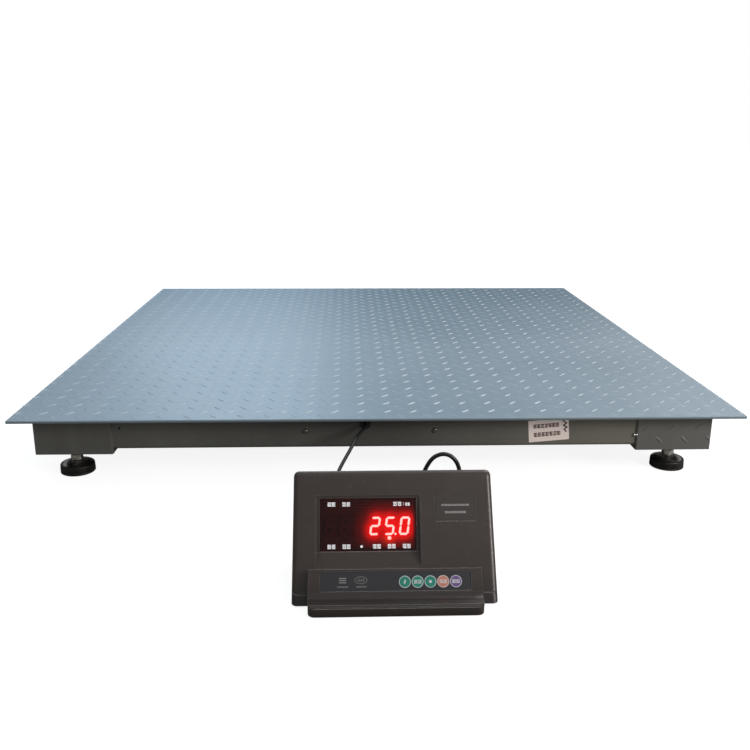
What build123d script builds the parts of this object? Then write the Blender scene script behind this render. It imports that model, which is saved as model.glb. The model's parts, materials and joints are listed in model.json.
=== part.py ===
"""Platform weighing scale: a 1.2 m square steel deck on four shear-beam load
cells with levelling feet, and a desk-top indicator joined to it by a cable.

X runs to the right, Y to the back and Z up. Heights below are above the floor;
everything is lowered at export, so the origin is the centre of the deck top.
"""

import os
from math import atan2, cos, degrees, hypot, radians, sin

from build123d import *

# ---------------------------------------------------------------- platform
DECK_SIDE = 1200
DECK_THICKNESS = 5
PLATFORM_HEIGHT = 120
DECK_UNDERSIDE = PLATFORM_HEIGHT - DECK_THICKNESS

# The frame hangs a little to the left under the deck
FRAME_X = -6

# Folded channel beams, webs outward
BEAM_OUTER = 562
BEAM_BOTTOM = 56
SHEET = 4
FLANGE = 40
FOLD_RADIUS = 6
BEAM_HEIGHT = DECK_UNDERSIDE - BEAM_BOTTOM

# Corner boxes, open below, around the load cells
BOX_OUTER = 566
BOX_LENGTH_X = 128
BOX_LENGTH_Y = 178
BOX_WALL = 6
BOX_BOTTOM = 49
BOX_INNER_X = BOX_OUTER - BOX_LENGTH_X
BOX_INNER_Y = BOX_OUTER - BOX_LENGTH_Y
BOX_CORNER_RADIUS = 3

# Stiffening bars under the deck
RIB_THICKNESS = 6
RIB_BOTTOM = 78
RIB_POSITIONS = (-340, -160, 160, 340)
RIB_END = BEAM_OUTER - FLANGE
CENTRE_RIB_START = -470

# Shear-beam load cells
FOOT_POSITION = 515
CELL_LENGTH = 130
CELL_SIDE = 32
CELL_TOP = 91
CELL_BOTTOM = CELL_TOP - CELL_SIDE
CELL_FOOT_HOLE_FROM_END = 15.8
CELL_FIRST_BOLT = 76.2
CELL_SECOND_BOLT = 101.6
CELL_BOLT_HOLE = 13
CELL_POCKET_DIAMETER = 22
CELL_POCKET_DEPTH = 2.5
CELL_POCKET_POSITION = 42
CELL_CABLE_OFFSET = 10
CELL_OUTER_END = FOOT_POSITION + CELL_FOOT_HOLE_FROM_END
CELL_INNER_END = CELL_OUTER_END - CELL_LENGTH
MOUNT_PAD_WIDTH = 44
MOUNT_PAD_LENGTH = 54

# M12 hardware
M12 = 12
THREAD_CLEARANCE = 0.05
M12_ACROSS_FLATS = 18
M12_NUT_HEIGHT = 10
M12_HEAD_HEIGHT = 7.5
M12_BOLT_LENGTH = 48
M12_WASHER_DIAMETER = 24
M12_WASHER_THICKNESS = 1.5

# Levelling feet
SOLE_DIAMETER = 58
SOLE_TOP_DIAMETER = 57
SOLE_HEIGHT = 16
SOLE_FLOOR = 3
SOLE_EDGE_RADIUS = 3
CUP_DIAMETER = 50
CUP_SHOULDER = 15.2
CUP_TOP_DIAMETER = 22
CUP_TOP = 20.8
CUP_DOME_DIAMETER = 38
CUP_DOME_HEIGHT = 18.9
BALL_CENTRE = 14
BALL_RADIUS = 7
SEAT_RADIUS = 9
SEAT_TOP = 19
BALL_CLEARANCE = 0.05
NECK_DIAMETER = 9
FOOT_HEX_BOTTOM = 22.5
FOOT_HEX_TOP = 31
STUD_TOP = 82

# Cables
CABLE_DIAMETER = 5
CABLE_HEIGHT = 72
CABLE_BEND = 16
CABLE_HOLE = 8
CABLE_INTO_CELL = 4
CABLE_INTO_GLAND = 10
FRONT_RUN_GAP = 24
FRONT_RUN_TURN = 88
REAR_RUN_GAP = 50
REAR_RUN_TURN = 62
REAR_RUN_START = 34
SIDE_RUN_GAP = 17
SIGNAL_CABLE_DIAMETER = 5.5
POWER_CORD_DIAMETER = 6

# Junction box behind the front beam
JBOX_CENTRE_X = -11.5
JBOX_LENGTH = 190
JBOX_DEPTH = 60
JBOX_BOTTOM = 62
JBOX_TOP = 104
JBOX_WALL = 2.5
JBOX_LID = 5
JBOX_CORNER = 4
LID_CHAMFER = 1
LID_BOSS_DEPTH = 9
LID_BOSS_DIAMETER = 10
LID_SCREW_INSET = 7
LID_SCREW_LENGTH = 12.5
EAR_THICKNESS = 4
EAR_HEIGHT = 24
EAR_LENGTH = 11
EAR_CORNER = 5
FRAME_SCREW_SPACING = 216
FRAME_SCREW_HEIGHT = 85.5
FRAME_SCREW_HOLE = 4.5
FRAME_SCREW_LENGTH = 15
GLAND_SPREAD = 24
GLAND_NUT_RADIUS = 7.2
GLAND_NUT_THICKNESS = 3
GLAND_COLLAR = 4
GLAND_DOME = (6.8, 5, 10)
GLAND_THREAD_DIAMETER = 12
GROMMET_FLANGE = 2
GROMMET_FLANGE_DIAMETER = 18
GROMMET_DIAMETER = 14
GROMMET_NECK_DIAMETER = 9
CABLE_EXIT_X = -20
CABLE_EXIT_HEIGHT = 98
DRAIN_HOLE_X = -426
DRAIN_HOLE_HEIGHT = 93
DRAIN_HOLE = 4

# Board in the junction box: five terminal rows and four trimmers
JUNCTION_BOARD_INSET = 16
JUNCTION_BOARD_FROM_LID = 20
TERMINAL_ROW_COUNT = 5
TERMINAL_ROW_START = 32
TERMINAL_ROW_SPACING = 31.5
TERMINAL_ROW_LENGTH = 24
TERMINAL_ROW_DEPTH = 12
TERMINAL_ROW_BOTTOM = 6
TERMINAL_ROW_HEIGHT = 8
POLE_COUNT = 4
POLE_SPACING = 6
POLE_DIAMETER = 3.4
TRIMMER_COUNT = 4
TRIMMER_START = 48
TRIMMER_LENGTH = 10
TRIMMER_DEPTH = 7
TRIMMER_TOP = 9
TRIMMER_HEIGHT = 7

# Size sticker on the front beam
STICKER_WIDTH = 68
STICKER_HEIGHT = 38
STICKER_CENTRE_X = 283
STICKER_CENTRE_HEIGHT = 84.3
STICKER_TILT = 4.75
STICKER_THICKNESS = 0.3

# ---------------------------------------------------------------- indicator
CASE_X = 2.5
CASE_BOTTOM = 2
CASE_HALF_WIDTH = 128.5
CASE_HALF_WIDTH_TOP = 127.5
CASE_WALL = 2.5
PARTING = 14
PARTING_GROOVE = 0.9
FACE_FRONT = -965
FACE_TOP = -874.7
FACE_TOP_HEIGHT = 144.5
RIDGE_RADIUS = 9
CASE_REAR = -830
CASE_REAR_HEIGHT = 118.7
REAR_EDGE_RADIUS = 7.5
CASE_EDGE_RADIUS = 7
BLOCK_HALF_WIDTH = 107.5
LIP_FRONT = -991
LIP_CORNER_RADIUS = 9
SHELF_HEIGHT = 17
SHELF_BACK = -980
FACE_ANGLE = degrees(atan2(FACE_TOP_HEIGHT - CASE_BOTTOM, FACE_TOP - FACE_FRONT))

# Keypad plane, proud of the face and parallel to it
KEYPAD_TOP_Y = -951.5
KEYPAD_TOP_HEIGHT = 44.5
KEYPAD_LENGTH = 28
KEYPAD_PROUD = 11.3
OVERLAY_X = 3
OVERLAY_FROM_TOP = 15
OVERLAY_WIDTH = 187
OVERLAY_HEIGHT = 23.5
OVERLAY_CORNER = 2
KEY_ROW_OFFSET = -1
OVERLAY_RECESS = 1.6
OVERLAY_THICKNESS = 0.8
KEY_DIAMETER = 15.2
KEY_SPACING = 15.8
FIRST_KEY_X = 14.2
KEY_COUNT = 5
KEY_GAP = 0.08
KEY_TRAVEL = 0.6
KEY_CAP_TOP = -0.4
KEY_CAP_THICKNESS = 1.8
KEY_STEM_DIAMETER = 5
KEY_HEAD_DIAMETER = 6.4
KEY_SLAB = 5
KEY_FLOOR_GAP = 0.2
KEY_CHAMFER = 0.3
KEY_HEAD_GAP = 0.1
KEY_HEAD_THICKNESS = 0.9
KEY_BOARD_HEIGHT = 15
TACT_SWITCH_SIDE = 6
TACT_SWITCH_HEIGHT = 2.8
TACT_BUTTON_HEIGHT = 0.8
TACT_BUTTON_DIAMETER = 3.4

# Display window, steeper than the face
WINDOW_TOP_Y = -892.4
WINDOW_TOP_HEIGHT = 113.7
WINDOW_BOTTOM_Y = -921.4
WINDOW_BOTTOM_HEIGHT = 52
WINDOW_LEFT = -91.5
WINDOW_RIGHT = 32
WINDOW_MARGIN = 4
WINDOW_THICKNESS = 2
RECESS_TOP_HEIGHT = 117
RECESS_LEFT = -96
RECESS_RIGHT = 36.7
RECESS_OVERSHOOT = 20
LEDGE_END = 40
TUB_WALL = 4.5
DIGIT_COUNT = 6
DIGIT_HEIGHT = 23
DIGIT_WIDTH = 12.4
DIGIT_PITCH = 18.9
LAST_DIGIT_X = 17
DIGIT_SLANT = 8
DIGIT_ROW_OFFSET = -2.1
DIGIT_FRONT = -TUB_WALL - 0.5
SEGMENT_WIDTH = 2.5
SEGMENT_GAP = 2.2
SEGMENT_THICKNESS = 0.6
MODULE_GAP = 0.3
MODULE_FRONT = DIGIT_FRONT - 0.4
DOT_DIAMETER = 2.4
LAMP_DIAMETER = 3
MODULE_DEPTH = 8
LAMP_X = -2.4
DOT_GAP = 2.4
LAMP_ROW_OFFSET = -17.4

# Nameplate on the face
NAMEPLATE_LEFT = 55.7
NAMEPLATE_RIGHT = 107.5
NAMEPLATE_BOTTOM = 88.2
NAMEPLATE_TOP = 116.6
NAMEPLATE_RECESS = 1.0
NAMEPLATE_THICKNESS = 0.5

# Back of the indicator
WALL_CUT = 6
VENT_COUNT = 9
VENT_SPACING = 7
VENT_WIDTH = 2.5
VENT_BOTTOM = 80
VENT_TOP = 106
PLUG_X = -68
PLUG_HEIGHT = 57
CORD_X = 48
CORD_HEIGHT = 70
SWITCH_X = 104
SWITCH_HEIGHT = 96
SWITCH_OPENING = (12.8, 18.8)
SWITCH_BEZEL = (15.2, 21.6)
SWITCH_BEZEL_THICKNESS = 1.6
SWITCH_BEZEL_CORNER = 1.5
SWITCH_DEPTH = 16
SWITCH_TAB_SPACING = 6
SWITCH_TAB_WIDTH = 4
SWITCH_TAB_LENGTH = 8
SWITCH_TAB_THICKNESS = 0.8
ROCKER_PIVOT_DEPTH = 2.5
ROCKER_SIDE_GAP = 0.15
ROCKER_END_GAP = 0.3
ROCKER_FACE_TIP = 6.4
ROCKER_FACE_MIDDLE = 4.2
ROCKER_AXLE_OVERHANG = 1.8
ROCKER_WIDTH = 9.8
ROCKER_RADIUS = 7.8
ROCKER_REST = -10
ROCKER_AXLE = 2

M3 = 3
M4 = 4
M4_HEAD_DIAMETER = 8
M4_HEAD_HEIGHT = 2.6
M4_NUT_RADIUS = 4.04
M4_NUT_HEIGHT = 3.2

# Signal plug and its cable
SOCKET_HALF_WIDTH = 15
SOCKET_HALF_HEIGHT = 5
SOCKET_DEPTH = 4
SOCKET_GAP = 0.5
HOOD_DEPTH = 30
HOOD_HALF_WIDTH = 18
HOOD_HALF_HEIGHT = 8
HOOD_SHOULDER = 18
HOOD_END_HALF_WIDTH = 8
HOOD_CORNER = 1.5
HOOD_CHAMFER = 0.8
HOOD_SLEEVE = (5, 3.8, 11)
CABLE_IN_HOOD = 4
SIGNAL_CABLE_POINTS = (
    (-36, -602, 94.8),
    (-48, -640, 88.5),
    (-61, -680, 79.5),
    (-70, -710, 71.5),
    (-73, -745, 63),
)

# Power cord: its loop as steps to the right of its exit, behind the case, and heights
RELIEF_SLEEVE = (6, 4.4, 13)
RELIEF_NECK_RADIUS = 5
RELIEF_NECK_LENGTH = 5
RELIEF_COLLAR_RADIUS = 7
CORD_LEVEL = POWER_CORD_DIAMETER / 2 + 1
CORD_LOOP = (
    (0, 12, 70),
    (0, 38, 92),
    (8, 40, 115),
    (18, 40, 128),
    (33, 40, 132),
    (47, 40, 123),
    (54, 40, 105),
    (59, 42, 74),
    (62, 50, 32),
    (56, 70, 10),
)
MAINS_PLUG_LEFT = -42
MAINS_PLUG_RIGHT = -1
MAINS_PLUG_Y = CASE_REAR + 112
MAINS_PLUG_WIDTH = 24
MAINS_PLUG_THICKNESS = 15
MAINS_PLUG_AXIS = 8
MAINS_PLUG_CORNER = 4
MAINS_PLUG_CHAMFER = 1.5
BLADE_SPACING = 13
BLADE_LENGTH = 18
BLADE_WIDTH = 6
BLADE_THICKNESS = 1.6

# Screw columns, screws and rubber feet of the case
COLUMN_X = 112
COLUMN_YS = (-940, -842)
COLUMN_DIAMETER = 9
COLUMN_TOP = 30
COLUMN_WEB = 2.4
SCREW_HEAD_DEPTH = 2.5
SCREW_HEAD_BORE = 6.4
CASE_SCREW_LENGTH = 14
M3_HEAD_DIAMETER = 6
M3_HEAD_HEIGHT = 2.2
FOOT_PAD_DIAMETER = 13
FOOT_PAD_SPREAD = 96
FOOT_PAD_YS = (-972, -846)

# Boards inside the case
BOARD_THICKNESS = 1.6
DRIVER_CHIP_XS = (-70, -46, -22, 2)
DRIVER_CHIP_OFFSET = -18
DRIVER_CHIP_LENGTH = 10
DRIVER_CHIP_WIDTH = 6
DRIVER_CHIP_HEIGHT = 1.6
MAIN_BOARD_LEFT = -70
MAIN_BOARD_RIGHT = 100
MAIN_BOARD_FRONT = -935
MAIN_BOARD_REAR = -893
MAIN_BOARD_HEIGHT = 12
BOARD_POST_INSET = 5.5
BOARD_POST_DIAMETER = 6
CAPACITOR_XS = (10, 52, 88)
CAPACITOR_Y = -900
CAPACITOR_HEIGHT = 11.4
CAPACITOR_DIAMETER = 8

# Chips on the main board: centre X and Y, length, width, height
MAIN_BOARD_CHIPS = (
    (-45, -918, 24, 8, 3.5),
    (-5, -914, 30, 12, 3.5),
    (35, -920, 10, 10, 2),
    (70, -912, 18, 18, 10),
)

# Sealed battery
BATTERY_LEFT = -104
BATTERY_FRONT = -883
BATTERY_LENGTH = 101
BATTERY_DEPTH = 46
BATTERY_HEIGHT = 70
BATTERY_CORNER = 2
BATTERY_LID_INSET = 4
BATTERY_LID_THICKNESS = 2
TERMINAL_INSET = 10
TERMINAL_WIDTH = 4.8
TERMINAL_THICKNESS = 0.8
TERMINAL_HEIGHT = 6
TERMINAL_Y = -850

# Transformer
TRANSFORMER_X = 33
TRANSFORMER_Y = -872
CORE_LENGTH = 50
CORE_THICKNESS = 16
CORE_HEIGHT = 42
COIL_LENGTH = 32
COIL_DEPTH = 28
COIL_INSET = 8
STRAP_LENGTH = 62
STRAP_WIDTH = 8
STRAP_THICKNESS = 2


def save(name, shape):
    """Lower the piece to the deck-top origin and write its file."""
    os.makedirs("parts", exist_ok=True)
    shape = Pos(0, 0, -PLATFORM_HEIGHT) * shape
    solids = shape.solids()
    piece = solids[0] if len(solids) == 1 else Compound(children=list(solids))
    piece.label = name
    export_step(piece, os.path.join("parts", name + ".step"))


def block(x0, x1, y0, y1, z0, z1):
    """A box between two opposite corners."""
    return Pos((x0 + x1) / 2, (y0 + y1) / 2, (z0 + z1) / 2) * Box(
        x1 - x0, y1 - y0, z1 - z0
    )


def rod(x, y, z0, z1, diameter):
    """An upright cylinder."""
    return Pos(x, y, (z0 + z1) / 2) * Cylinder(diameter / 2, z1 - z0)


def hexagon(x, y, z0, z1, across_flats):
    """An upright hexagonal prism with its top and bottom corners turned off."""
    corner_radius = across_flats / 2 / cos(radians(30))
    prism = extrude(RegularPolygon(corner_radius, 6), z1 - z0)
    turned = Cylinder(corner_radius, z1 - z0, align=(Align.CENTER, Align.CENTER, Align.MIN))
    turned = chamfer(turned.edges(), (corner_radius - across_flats / 2) * 0.9)
    return Pos(x, y, z0) * (prism & turned)


def bolt_up(x, y, seat, length, diameter, across_flats, head):
    """A hexagon-head bolt pushed up through a seat, with its washer."""
    washer = rod(x, y, seat - M12_WASHER_THICKNESS, seat, M12_WASHER_DIAMETER)
    top = seat - M12_WASHER_THICKNESS
    shank = rod(x, y, top, top + length, diameter)
    shank = chamfer(shank.edges().group_by(Axis.Z)[-1], 1)
    return washer + hexagon(x, y, top - head, top, across_flats) + shank


def pan_screw(origin, direction, length, diameter, head_diameter, head_height):
    """A pan-head screw: the head's underside is at origin, the shank follows direction."""
    half = head_diameter / 2
    outline = Polyline(
        (0, -head_height),
        (half * 0.55, -head_height),
    )
    crown = ThreePointArc(
        (half * 0.55, -head_height), (half * 0.9, -head_height * 0.65), (half, -head_height * 0.2)
    )
    side = Polyline(
        (half, -head_height * 0.2),
        (half, 0),
        (diameter / 2, 0),
        (diameter / 2, length - 0.6),
        (diameter / 2 - 0.6, length),
        (0, length),
        (0, -head_height),
    )
    body = revolve(make_face(Plane.XZ * (outline + crown + side)), Axis.Z)
    slot = Pos(0, 0, -head_height + 0.7) * Box(head_diameter * 0.62, 1.2, 1.4)
    cross = Pos(0, 0, -head_height + 0.7) * Box(1.2, head_diameter * 0.62, 1.4)
    return Plane(origin=origin, z_dir=direction) * (body - slot - cross)


def tube_along(path, diameter):
    """A round cable along a path."""
    plane = Plane(origin=path @ 0, z_dir=path % 0)
    return sweep(plane * Circle(diameter / 2), path=path)


def four_corners():
    """The two mirror signs of each platform corner."""
    return {
        "front_left": (-1, -1),
        "front_right": (1, -1),
        "rear_left": (-1, 1),
        "rear_right": (1, 1),
    }


def save_frame(name, shape):
    """Save a piece of the frame, which is drawn centred and hangs at FRAME_X."""
    save(name, Pos(FRAME_X, 0, 0) * shape)


# ---------------------------------------------------------------- deck and frame
deck = block(
    -DECK_SIDE / 2,
    DECK_SIDE / 2,
    -DECK_SIDE / 2,
    DECK_SIDE / 2,
    DECK_UNDERSIDE,
    PLATFORM_HEIGHT,
)
save("deck_plate", deck)

ribs = Part()
for rib_x in RIB_POSITIONS:
    ribs += block(
        rib_x - RIB_THICKNESS / 2,
        rib_x + RIB_THICKNESS / 2,
        -RIB_END,
        RIB_END,
        RIB_BOTTOM,
        DECK_UNDERSIDE,
    )
ribs += block(
    -RIB_THICKNESS / 2,
    RIB_THICKNESS / 2,
    CENTRE_RIB_START,
    RIB_END,
    RIB_BOTTOM,
    DECK_UNDERSIDE,
)
save_frame("deck_ribs", ribs)


def channel_beam(half_length):
    """A folded channel along X with its web towards -Y."""
    outer = Pos(0, 0) * Rectangle(FLANGE, BEAM_HEIGHT)
    inner = Pos(SHEET / 2, 0) * Rectangle(FLANGE - SHEET, BEAM_HEIGHT - 2 * SHEET)
    section = outer - inner
    web_edges = section.vertices().group_by(Axis.X)[0]
    section = fillet(web_edges, FOLD_RADIUS)
    inside = section.vertices().filter_by(
        lambda v: abs(v.X - (SHEET - FLANGE / 2)) < 0.01
        and abs(abs(v.Y) - (BEAM_HEIGHT / 2 - SHEET)) < 0.01
    )
    section = fillet(inside, FOLD_RADIUS - SHEET)
    beam = extrude(Plane.YZ * section, half_length, both=True)
    return Pos(
        0, -BEAM_OUTER + FLANGE / 2, (BEAM_BOTTOM + DECK_UNDERSIDE) / 2
    ) * beam


screw_xs = (
    JBOX_CENTRE_X - FRAME_SCREW_SPACING / 2,
    JBOX_CENTRE_X + FRAME_SCREW_SPACING / 2,
)


def bore_through_web(x, height, diameter):
    """A cutter for a hole through the front web."""
    return Plane(origin=(x, -BEAM_OUTER - 2, height), z_dir=(0, 1, 0)) * extrude(
        Circle(diameter / 2), SHEET + 4
    )


front_beam = channel_beam(BOX_INNER_X)
for screw_x in screw_xs:
    front_beam -= bore_through_web(screw_x, FRAME_SCREW_HEIGHT, FRAME_SCREW_HOLE)
front_beam -= bore_through_web(CABLE_EXIT_X, CABLE_EXIT_HEIGHT, GROMMET_DIAMETER)
front_beam -= bore_through_web(DRAIN_HOLE_X, DRAIN_HOLE_HEIGHT, DRAIN_HOLE)
save_frame("front_beam", front_beam)
save_frame("rear_beam", Rot(0, 0, 180) * channel_beam(BOX_INNER_X))
save_frame("right_beam", Rot(0, 0, 90) * channel_beam(BOX_INNER_Y))
save_frame("left_beam", Rot(0, 0, -90) * channel_beam(BOX_INNER_Y))


def place(shape, signs):
    """Mirror a piece made for the +X, +Y corner into another corner."""
    if signs[0] < 0:
        shape = shape.mirror(Plane.YZ)
    if signs[1] < 0:
        shape = shape.mirror(Plane.XZ)
    return shape


bolt_positions = (
    FOOT_POSITION - CELL_FIRST_BOLT,
    FOOT_POSITION - CELL_SECOND_BOLT,
)
pad_centre_y = sum(bolt_positions) / 2

box_shell = block(
    BOX_INNER_X, BOX_OUTER, BOX_INNER_Y, BOX_OUTER, BOX_BOTTOM, DECK_UNDERSIDE
)
box_shell = fillet(box_shell.edges().filter_by(Axis.Z), BOX_CORNER_RADIUS)
box_shell -= block(
    BOX_INNER_X + BOX_WALL,
    BOX_OUTER - BOX_WALL,
    BOX_INNER_Y + BOX_WALL,
    BOX_OUTER - BOX_WALL,
    BOX_BOTTOM - 1,
    DECK_UNDERSIDE - BOX_WALL,
)
mount_pad = block(
    FOOT_POSITION - MOUNT_PAD_WIDTH / 2,
    FOOT_POSITION + MOUNT_PAD_WIDTH / 2,
    pad_centre_y - MOUNT_PAD_LENGTH / 2,
    pad_centre_y + MOUNT_PAD_LENGTH / 2,
    CELL_TOP,
    DECK_UNDERSIDE - BOX_WALL + 1,
)
mount_pad = mount_pad & block(
    BOX_INNER_X + BOX_WALL,
    BOX_OUTER,
    BOX_INNER_Y + BOX_WALL - 1,
    BOX_OUTER,
    CELL_TOP,
    DECK_UNDERSIDE,
)
corner_box = box_shell + mount_pad
for bolt_y in bolt_positions:
    corner_box -= rod(FOOT_POSITION, bolt_y, CELL_TOP - 1, DECK_UNDERSIDE - 4, M12)
cable_x = FOOT_POSITION - CELL_CABLE_OFFSET
corner_box -= Plane(
    origin=(cable_x, BOX_INNER_Y - 1, CABLE_HEIGHT), z_dir=(0, 1, 0)
) * extrude(Circle(CABLE_HOLE / 2), BOX_WALL + 2)

cell = block(
    FOOT_POSITION - CELL_SIDE / 2,
    FOOT_POSITION + CELL_SIDE / 2,
    CELL_INNER_END,
    CELL_OUTER_END,
    CELL_BOTTOM,
    CELL_TOP,
)
cell = chamfer(cell.edges().filter_by(Axis.Y), 0.8)
cell -= rod(
    FOOT_POSITION,
    FOOT_POSITION,
    CELL_BOTTOM - 1,
    CELL_TOP + 1,
    M12 + 2 * THREAD_CLEARANCE,
)
for bolt_y in bolt_positions:
    cell -= rod(FOOT_POSITION, bolt_y, CELL_BOTTOM - 1, CELL_TOP + 1, CELL_BOLT_HOLE)
for side in (-1, 1):
    cell -= Plane(
        origin=(
            FOOT_POSITION + side * CELL_SIDE / 2,
            FOOT_POSITION - CELL_POCKET_POSITION,
            (CELL_TOP + CELL_BOTTOM) / 2,
        ),
        z_dir=(-side, 0, 0),
    ) * extrude(Circle(CELL_POCKET_DIAMETER / 2), CELL_POCKET_DEPTH)
cell -= Plane(
    origin=(cable_x, CELL_INNER_END, CABLE_HEIGHT), z_dir=(0, 1, 0)
) * extrude(Circle(CABLE_DIAMETER / 2), 4)

cell_bolts = Part()
for bolt_y in bolt_positions:
    cell_bolts += bolt_up(
        FOOT_POSITION,
        bolt_y,
        CELL_BOTTOM,
        M12_BOLT_LENGTH,
        M12,
        M12_ACROSS_FLATS,
        M12_HEAD_HEIGHT,
    )
lock_nut = hexagon(
    FOOT_POSITION,
    FOOT_POSITION,
    CELL_BOTTOM - M12_NUT_HEIGHT,
    CELL_BOTTOM,
    M12_ACROSS_FLATS,
) - rod(
    FOOT_POSITION,
    FOOT_POSITION,
    CELL_BOTTOM - M12_NUT_HEIGHT - 1,
    CELL_BOTTOM + 1,
    M12 + 2 * THREAD_CLEARANCE,
)

fasteners = []
for corner, signs in four_corners().items():
    save_frame("corner_box_" + corner, place(corner_box, signs))
    save_frame("load_cell_" + corner, place(cell, signs))
    fasteners += place(cell_bolts, signs).solids()
    fasteners += place(lock_nut, signs).solids()
save_frame("load_cell_fasteners", Compound(children=fasteners))

# ---------------------------------------------------------------- levelling feet
ball = Pos(0, 0, BALL_CENTRE) * Sphere(BALL_RADIUS)
neck = rod(0, 0, BALL_CENTRE, FOOT_HEX_BOTTOM + 1, NECK_DIAMETER)
foot_hex = hexagon(0, 0, FOOT_HEX_BOTTOM, FOOT_HEX_TOP, M12_ACROSS_FLATS)
thread = rod(0, 0, FOOT_HEX_TOP - 1, STUD_TOP, M12)
thread = chamfer(thread.edges().group_by(Axis.Z)[-1], 1.2)
stud = ball + neck + foot_hex + thread

seat = Pos(0, 0, BALL_CENTRE) * (Sphere(SEAT_RADIUS) - Sphere(BALL_RADIUS + BALL_CLEARANCE))
seat -= block(-20, 20, -20, 20, SEAT_TOP, SEAT_TOP + 20)
seat -= rod(0, 0, 0, BALL_CENTRE - BALL_RADIUS, BALL_RADIUS * 0.6)

cup_outline = Polyline(
    (0, SOLE_FLOOR),
    (CUP_DIAMETER / 2, SOLE_FLOOR),
    (CUP_DIAMETER / 2, CUP_SHOULDER),
)
cup_dome = ThreePointArc(
    (CUP_DIAMETER / 2, CUP_SHOULDER),
    (CUP_DOME_DIAMETER / 2, CUP_DOME_HEIGHT),
    (CUP_TOP_DIAMETER / 2, CUP_TOP),
)
cup_close = Polyline((CUP_TOP_DIAMETER / 2, CUP_TOP), (0, CUP_TOP), (0, SOLE_FLOOR))
cup = revolve(make_face(Plane.XZ * (cup_outline + cup_dome + cup_close)), Axis.Z)
cup -= Pos(0, 0, BALL_CENTRE) * Sphere(SEAT_RADIUS + BALL_CLEARANCE)

sole = Cone(
    SOLE_DIAMETER / 2,
    SOLE_TOP_DIAMETER / 2,
    SOLE_HEIGHT,
    align=(Align.CENTER, Align.CENTER, Align.MIN),
)
sole = fillet(sole.edges().group_by(Axis.Z)[-1], SOLE_EDGE_RADIUS)
sole -= rod(0, 0, SOLE_FLOOR, SOLE_HEIGHT + 1, CUP_DIAMETER)

for corner, signs in four_corners().items():
    spot = Pos(signs[0] * FOOT_POSITION, signs[1] * FOOT_POSITION, 0)
    save_frame("foot_" + corner + "_stud", spot * stud)
    save_frame("foot_" + corner + "_ball_seat", spot * seat)
    save_frame("foot_" + corner + "_cup", spot * cup)
    save_frame("foot_" + corner + "_sole", spot * sole)

# ---------------------------------------------------------------- junction box
jbox_front = -BEAM_OUTER + SHEET + EAR_THICKNESS
jbox_back = jbox_front + JBOX_DEPTH
jbox_left = JBOX_CENTRE_X - JBOX_LENGTH / 2
jbox_right = JBOX_CENTRE_X + JBOX_LENGTH / 2
gland_front_y = jbox_front + JBOX_DEPTH / 2 - GLAND_SPREAD / 2
gland_rear_y = jbox_front + JBOX_DEPTH / 2 + GLAND_SPREAD / 2
gland_ys = (gland_front_y, gland_rear_y)

jbox = block(jbox_left, jbox_right, jbox_front, jbox_back, JBOX_BOTTOM, JBOX_TOP)
jbox = fillet(jbox.edges().filter_by(Axis.Y), JBOX_CORNER)
jbox -= block(
    jbox_left + JBOX_WALL,
    jbox_right - JBOX_WALL,
    jbox_front + JBOX_WALL,
    jbox_back + 1,
    JBOX_BOTTOM + JBOX_WALL,
    JBOX_TOP - JBOX_WALL,
)
ears = block(
    screw_xs[0] - EAR_LENGTH,
    screw_xs[1] + EAR_LENGTH,
    jbox_front - EAR_THICKNESS,
    jbox_front,
    FRAME_SCREW_HEIGHT - EAR_HEIGHT / 2,
    FRAME_SCREW_HEIGHT + EAR_HEIGHT / 2,
)
ears = fillet(ears.edges().filter_by(Axis.Y), EAR_CORNER)
jbox += ears
lid_screw_xs = (jbox_left + LID_SCREW_INSET, jbox_right - LID_SCREW_INSET)
lid_screw_heights = (JBOX_BOTTOM + LID_SCREW_INSET, JBOX_TOP - LID_SCREW_INSET)
for screw_x in lid_screw_xs:
    for height in lid_screw_heights:
        jbox += Plane(
            origin=(screw_x, jbox_back - LID_BOSS_DEPTH, height), z_dir=(0, 1, 0)
        ) * extrude(Circle(LID_BOSS_DIAMETER / 2), LID_BOSS_DEPTH)
for screw_x in screw_xs:
    jbox -= bore_through_web(screw_x, FRAME_SCREW_HEIGHT, FRAME_SCREW_HOLE).moved(
        Location((0, SHEET + 1, 0))
    )
jbox -= Plane(
    origin=(CABLE_EXIT_X, jbox_front - EAR_THICKNESS - 1, CABLE_EXIT_HEIGHT),
    z_dir=(0, 1, 0),
) * extrude(Circle(GROMMET_NECK_DIAMETER / 2), EAR_THICKNESS + JBOX_WALL + 2)
for gland_y in gland_ys:
    jbox -= Plane(
        origin=(jbox_left - 1, gland_y, CABLE_HEIGHT), z_dir=(1, 0, 0)
    ) * extrude(Circle(GLAND_THREAD_DIAMETER / 2), JBOX_LENGTH + 2)
for screw_x in lid_screw_xs:
    for height in lid_screw_heights:
        jbox -= Plane(
            origin=(screw_x, jbox_back - LID_BOSS_DEPTH + 1, height), z_dir=(0, 1, 0)
        ) * extrude(Circle(M3 / 2), LID_BOSS_DEPTH)
save_frame("junction_box", jbox)

lid = block(
    jbox_left, jbox_right, jbox_back, jbox_back + JBOX_LID, JBOX_BOTTOM, JBOX_TOP
)
lid = fillet(lid.edges().filter_by(Axis.Y), JBOX_CORNER)
lid = chamfer(lid.faces().sort_by(Axis.Y)[-1].edges(), LID_CHAMFER)
for screw_x in lid_screw_xs:
    for height in lid_screw_heights:
        lid -= Plane(
            origin=(screw_x, jbox_back - 1, height), z_dir=(0, 1, 0)
        ) * extrude(Circle(M3 / 2), JBOX_LID + 2)
save_frame("junction_box_lid", lid)

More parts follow.
